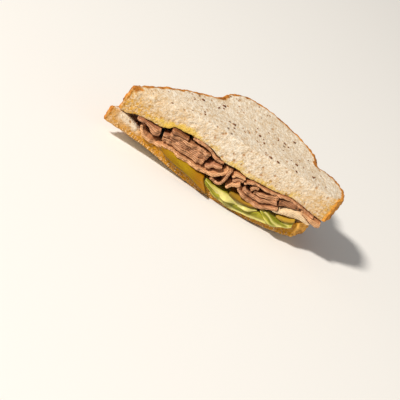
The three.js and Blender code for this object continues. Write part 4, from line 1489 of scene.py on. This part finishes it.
    LEAVES: ClassVar[tuple[Leaf, ...]] = (
        Leaf("lower_leaf", "lettuce_lower", (-6.8, 46), 34,
             ((-6, 4), (0, 5.8), (6, 6.6), (12, 7.2), (22, 6.7), (32, 6.2), (40, 5.9), (46, 5.2)), 0.55,
             ((-6, 0.35), (46, 0.35)), 2, 80, ((-6, 1), (4, 0.5), (14, 0.2), (46, 0.1)), 4.0, 92,
             ruffle=(0.25, 22, 0.5), ribs=(((4, 5.4), (18, 6.6), (30, 5.6), (46, 4.6)),),
             creases=(((-5, 1.8), (2, 4.9), (9, 6.4), (14, 5.2), (20, 5.4), (26, 4.6), (34, 2.4)),)),
        Leaf("upper_leaf", "lettuce_upper", (-6.2, 31.6), 28,
             ((-6, 1.6), (2, 4.2), (9, 5.8), (14, 4.6), (17, 4.4), (20, 5), (25, 4.4), (29, 3), (33, 1.2)),
             0.55, ((-6, 1.3), (33, 1.3)), 3, 60, ((-6, 0.6), (6, 0.1)), 5.0, 72, ruffle=(0.75, 13, 2.1),
             pale=((-6, 0.2), (0, 0.5), (4, 0.9), (14, 1), (22, 0.8), (31, 0.6))),
        Leaf("right_leaf", "lettuce_right", (33, 55), 20,
             ((33, 2.4), (37, 5.4), (42, 6.6), (48, 6), (55, 5.2)), 0.55,
             ((33, 2.8), (38, 2.4), (42.5, 1.25), (55, 1.25)), 3.2, 60, ((33, 0.2), (55, 0.2)), 6.0, 50,
             ruffle=(0.2, 22, 1.2),
             ribs=(((33, 0.5), (40, 2.7), (43, 4.4), (50, 5.8)),
                   ((37, -1), (43, -0.6), (48, 1.8), (54, 4.8))),
             creases=(((34, 1.9), (40, 4.1), (43, 5.8), (47, 6.4)),
                      ((35, 0.6), (41, 1.2), (47, 3.4), (53, 5.6)))),
    )

    CRUMBS: ClassVar[tuple[Scatter, ...]] = (
        BranFlakes("bran_flakes", "bread", 11, 38, FlakeFinish("bran", srgb(92, 52, 28), srgb(142, 92, 52))),
        LooseCrumbs("beef_crumbs", "beef", 41, 34,
                    FlakeFinish("beef_crumb", srgb(120, 78, 52), srgb(176, 128, 96))),
        RimCrumbs("rim_crumbs", "bread", 301, 120,
                  FlakeFinish("bread_crumb", srgb(196, 134, 62), srgb(238, 206, 150))),
    )

    def build(self) -> None:
        """Builds all the pieces in order, and reports each."""
        for maker in (self.UPPER, self.LOWER, *self.BEEF, *self.PICKLES, *self.LEAVES, *self.CRUMBS):
            piece = maker.build()
            LOG.info("%s: %d faces", piece.name, len(piece.data.polygons))


# ---- studio -------------------------------------------------------------------------------
@dataclass
class Studio:
    """A pale floor, one soft key light, the room's even light and the camera, in metres."""

    viewpoint: Triple = (-0.13629, -0.73446, 0.32248)
    aim: Triple = (0.00498, -0.01799, -0.0142)
    roll: float = 36.115
    lens: float = 112.5
    sensor: float = 36.0
    floor_size: float = 12.0
    key_towards: Triple = (-0.67, -0.41, 0.62)
    key_distance: float = 4.0
    key_power: float = 190.0
    key_size: float = 0.5
    key_colour: Triple = (1.0, 0.96, 0.9)
    room_colour: Colour = (1.0, 0.99, 0.98, 1.0)
    room_strength: float = 0.30

    def camera(self) -> None:
        """Adds the camera at the photographed angle."""
        deselect_all()
        bpy.ops.object.camera_add(location=self.viewpoint)
        camera = bpy.context.active_object
        camera.name = "camera"
        camera.data.lens = self.lens
        camera.data.sensor_width = self.sensor
        camera.data.clip_start = 0.05
        camera.data.clip_end = 50
        look = Vector(self.aim) - Vector(self.viewpoint)
        turn = Quaternion((0, 0, 1), math.radians(self.roll))
        camera.rotation_mode = "QUATERNION"
        camera.rotation_quaternion = look.to_track_quat("-Z", "Y") @ turn
        bpy.context.scene.camera = camera

    def floor(self) -> None:
        """Adds the floor that the sandwich lies on."""
        deselect_all()
        bpy.ops.mesh.primitive_plane_add(size=self.floor_size, location=(0, 0, 0))
        floor = bpy.context.active_object
        floor.name = "floor"
        floor.data.materials.append(FloorFinish().build())

    def lights(self) -> None:
        """Adds the key light and the even light of the room."""
        deselect_all()
        towards = Vector(self.key_towards).normalized()
        bpy.ops.object.light_add(type="AREA", location=towards * self.key_distance)
        key = bpy.context.active_object
        key.name = "key_light"
        key.data.shape = "DISK"
        key.data.size = self.key_size
        key.data.energy = self.key_power
        key.data.color = self.key_colour
        key.rotation_euler = (-towards).to_track_quat("-Z", "Y").to_euler()
        world = bpy.data.worlds.new("room")
        bpy.context.scene.world = world
        world.use_nodes = True
        background = next(n for n in world.node_tree.nodes if n.type == "BACKGROUND")
        background.inputs["Color"].default_value = self.room_colour
        background.inputs["Strength"].default_value = self.room_strength
        bpy.context.scene.view_settings.view_transform = "Standard"

    def build(self) -> None:
        """Builds the studio."""
        self.camera()
        self.floor()
        self.lights()


def main() -> None:
    """Builds the sandwich and its studio."""
    logging.basicConfig(level=logging.INFO, format="%(name)s: %(message)s")
    Sandwich().build()
    Studio().build()


if __name__ == "__main__":
    main()
